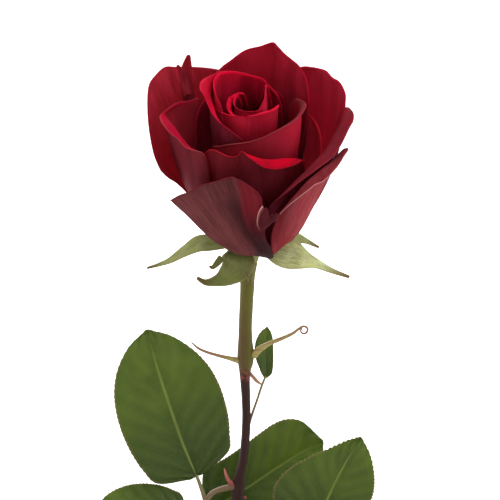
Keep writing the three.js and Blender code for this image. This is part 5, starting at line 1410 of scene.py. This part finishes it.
def glass_finish():
    """Clear glass, a little greener and darker where it is seen edge on: partly the tint of a thick wall,
    partly painted shade for the dark surroundings that glass shows at its edges.
    """
    f = Finish("clear_glass")
    haze = f.noise(60, 2.0)
    relief = f.bump(f.noise(35, 1.0), 0.05, 0.001)
    clear, deep = (f.skin({
        "Base Color": f.mix(haze, first, second), "Roughness": haze * 0.02, "Normal": relief,
        "Transmission Weight": 1.0, "IOR": 1.5}) for first, second in (
            (colour(0.88, 0.925, 0.915), colour(0.9, 0.94, 0.93)),
            (colour(0.26, 0.38, 0.36), colour(0.3, 0.42, 0.4))))
    edge_on = f.node("ShaderNodeLayerWeight", {}, {"Blend": 0.5}, output="Facing")
    return f.surface(f.node("ShaderNodeMixShader", {}, {0: edge_on ** 1.6, 1: clear, 2: deep}))


def water_finish():
    f = Finish("clear_water")
    tint = f.mix(f.noise(30, 2.0), colour(0.94, 0.97, 0.965), colour(0.96, 0.98, 0.975))
    return f.surface(f.skin({
        "Base Color": tint, "Roughness": 0.0, "Transmission Weight": 1.0, "IOR": 1.333}))


# %% A turned recipe
def turned_recipe():
    """Turns a profile round the upright axis."""
    r = Recipe("turned_profile", Points="Int", Sides="Int")
    grid = r.node("GeometryNodeMeshGrid", {}, {
        "Size X": 1.0, "Size Y": 1.0, "Vertices X": r.given("Points"), "Vertices Y": r.given("Sides") + 1})
    spot = r.node("GeometryNodeInputPosition")
    row = (r.part(spot, "X") + 0.5) * (r.given("Points") - 1) + 0.5
    turn = (r.part(spot, "Y") + 0.5) * (-2 * np.pi)
    point = r.node("GeometryNodeSampleIndex", {"data_type": "FLOAT_VECTOR"},
                   {"Geometry": r.given("Geometry"), "Value": spot, "Index": row})
    radius, height = r.part(point, "X"), r.part(point, "Z")
    place = r.at(radius * turn.maths("COSINE", turn), radius * turn.maths("SINE", turn), height)
    turned = r.node("GeometryNodeSetPosition", {}, {"Geometry": grid, "Position": place})
    return r.done(r.node("GeometryNodeMergeByDistance", {}, {"Geometry": turned, "Distance": MERGE_DISTANCE}))


ROUND_SIDES = 128
TURNED = turned_recipe()


def turned_piece(name, profile, material, slot, node):
    rows = [(radius, 0, height) for radius, height in profile]
    grown(name, rows, [], [], TURNED, material, slot, [node], Points=len(rows), Sides=ROUND_SIDES)


turned_piece("vase_glass", glass_profile, glass_finish(), "glass", "vase")

# %% The water
CLEARANCE = 0.05
MENISCUS = 1.1  # how far the water climbs the glass
water_profile = np.concatenate([[(0, VASE_FLOOR + CLEARANCE)], inside_profile(CLEARANCE, WATER_LEVEL, 60)])
water_profile[:, 0] *= ROUNDNESS
edge = water_profile[-1, 0]
climb = [(edge - 0.4, WATER_LEVEL - MENISCUS * 0.55), (edge - 1, WATER_LEVEL - MENISCUS * 0.85),
         (edge - 2.2, WATER_LEVEL - MENISCUS), (0, WATER_LEVEL - MENISCUS)]
turned_piece("water_body", np.concatenate([water_profile, climb]), water_finish(), "water", "water")

# %% [markdown]
# ## Bubbles under water
# After a few hours tiny bubbles sit on a cut stem. They could be placed by hand, but scattering is what a
# recipe is for: points are strewn over the stem's skin with a fixed seed, and each gets a small ball.

# %% Bubbles on the stem
def bubble_recipe():
    r = Recipe("stem_bubbles", Density="Float", Smallest="Float", Largest="Float", Seed="Int")
    spots = r.node("GeometryNodeDistributePointsOnFaces", {}, {
        "Mesh": r.given("Geometry"), "Density": r.given("Density"), "Seed": r.given("Seed")})
    ball = r.node("GeometryNodeMeshIcoSphere", {}, {"Radius": 1.0, "Subdivisions": 2})
    return r.done(r.node("GeometryNodeInstanceOnPoints", {}, {
        "Points": spots, "Instance": ball,
        "Scale": r.random_size(r.given("Smallest"), r.given("Largest"))}))


def bubble_finish():
    f = Finish("air_bubble")
    shade = f.mix(f.noise(200, 1.0), colour(0.93, 0.96, 0.96), colour(1, 1, 1))
    return f.surface(f.skin({
        "Base Color": shade, "Roughness": 0.02, "Transmission Weight": 0.85, "IOR": 1.2}))


under_water = [tuple(stem_at(z)) for z in np.linspace(VASE_FLOOR + 3, WATER_LEVEL - 3, 24)]
skin_points, skin_faces, _ = rod_mesh(under_water, 60, 16)
grown("stem_bubbles", skin_points, [], skin_faces, bubble_recipe(), bubble_finish(), "water",
      Density=60000.0, Smallest=0.00012, Largest=0.00042, Seed=11)
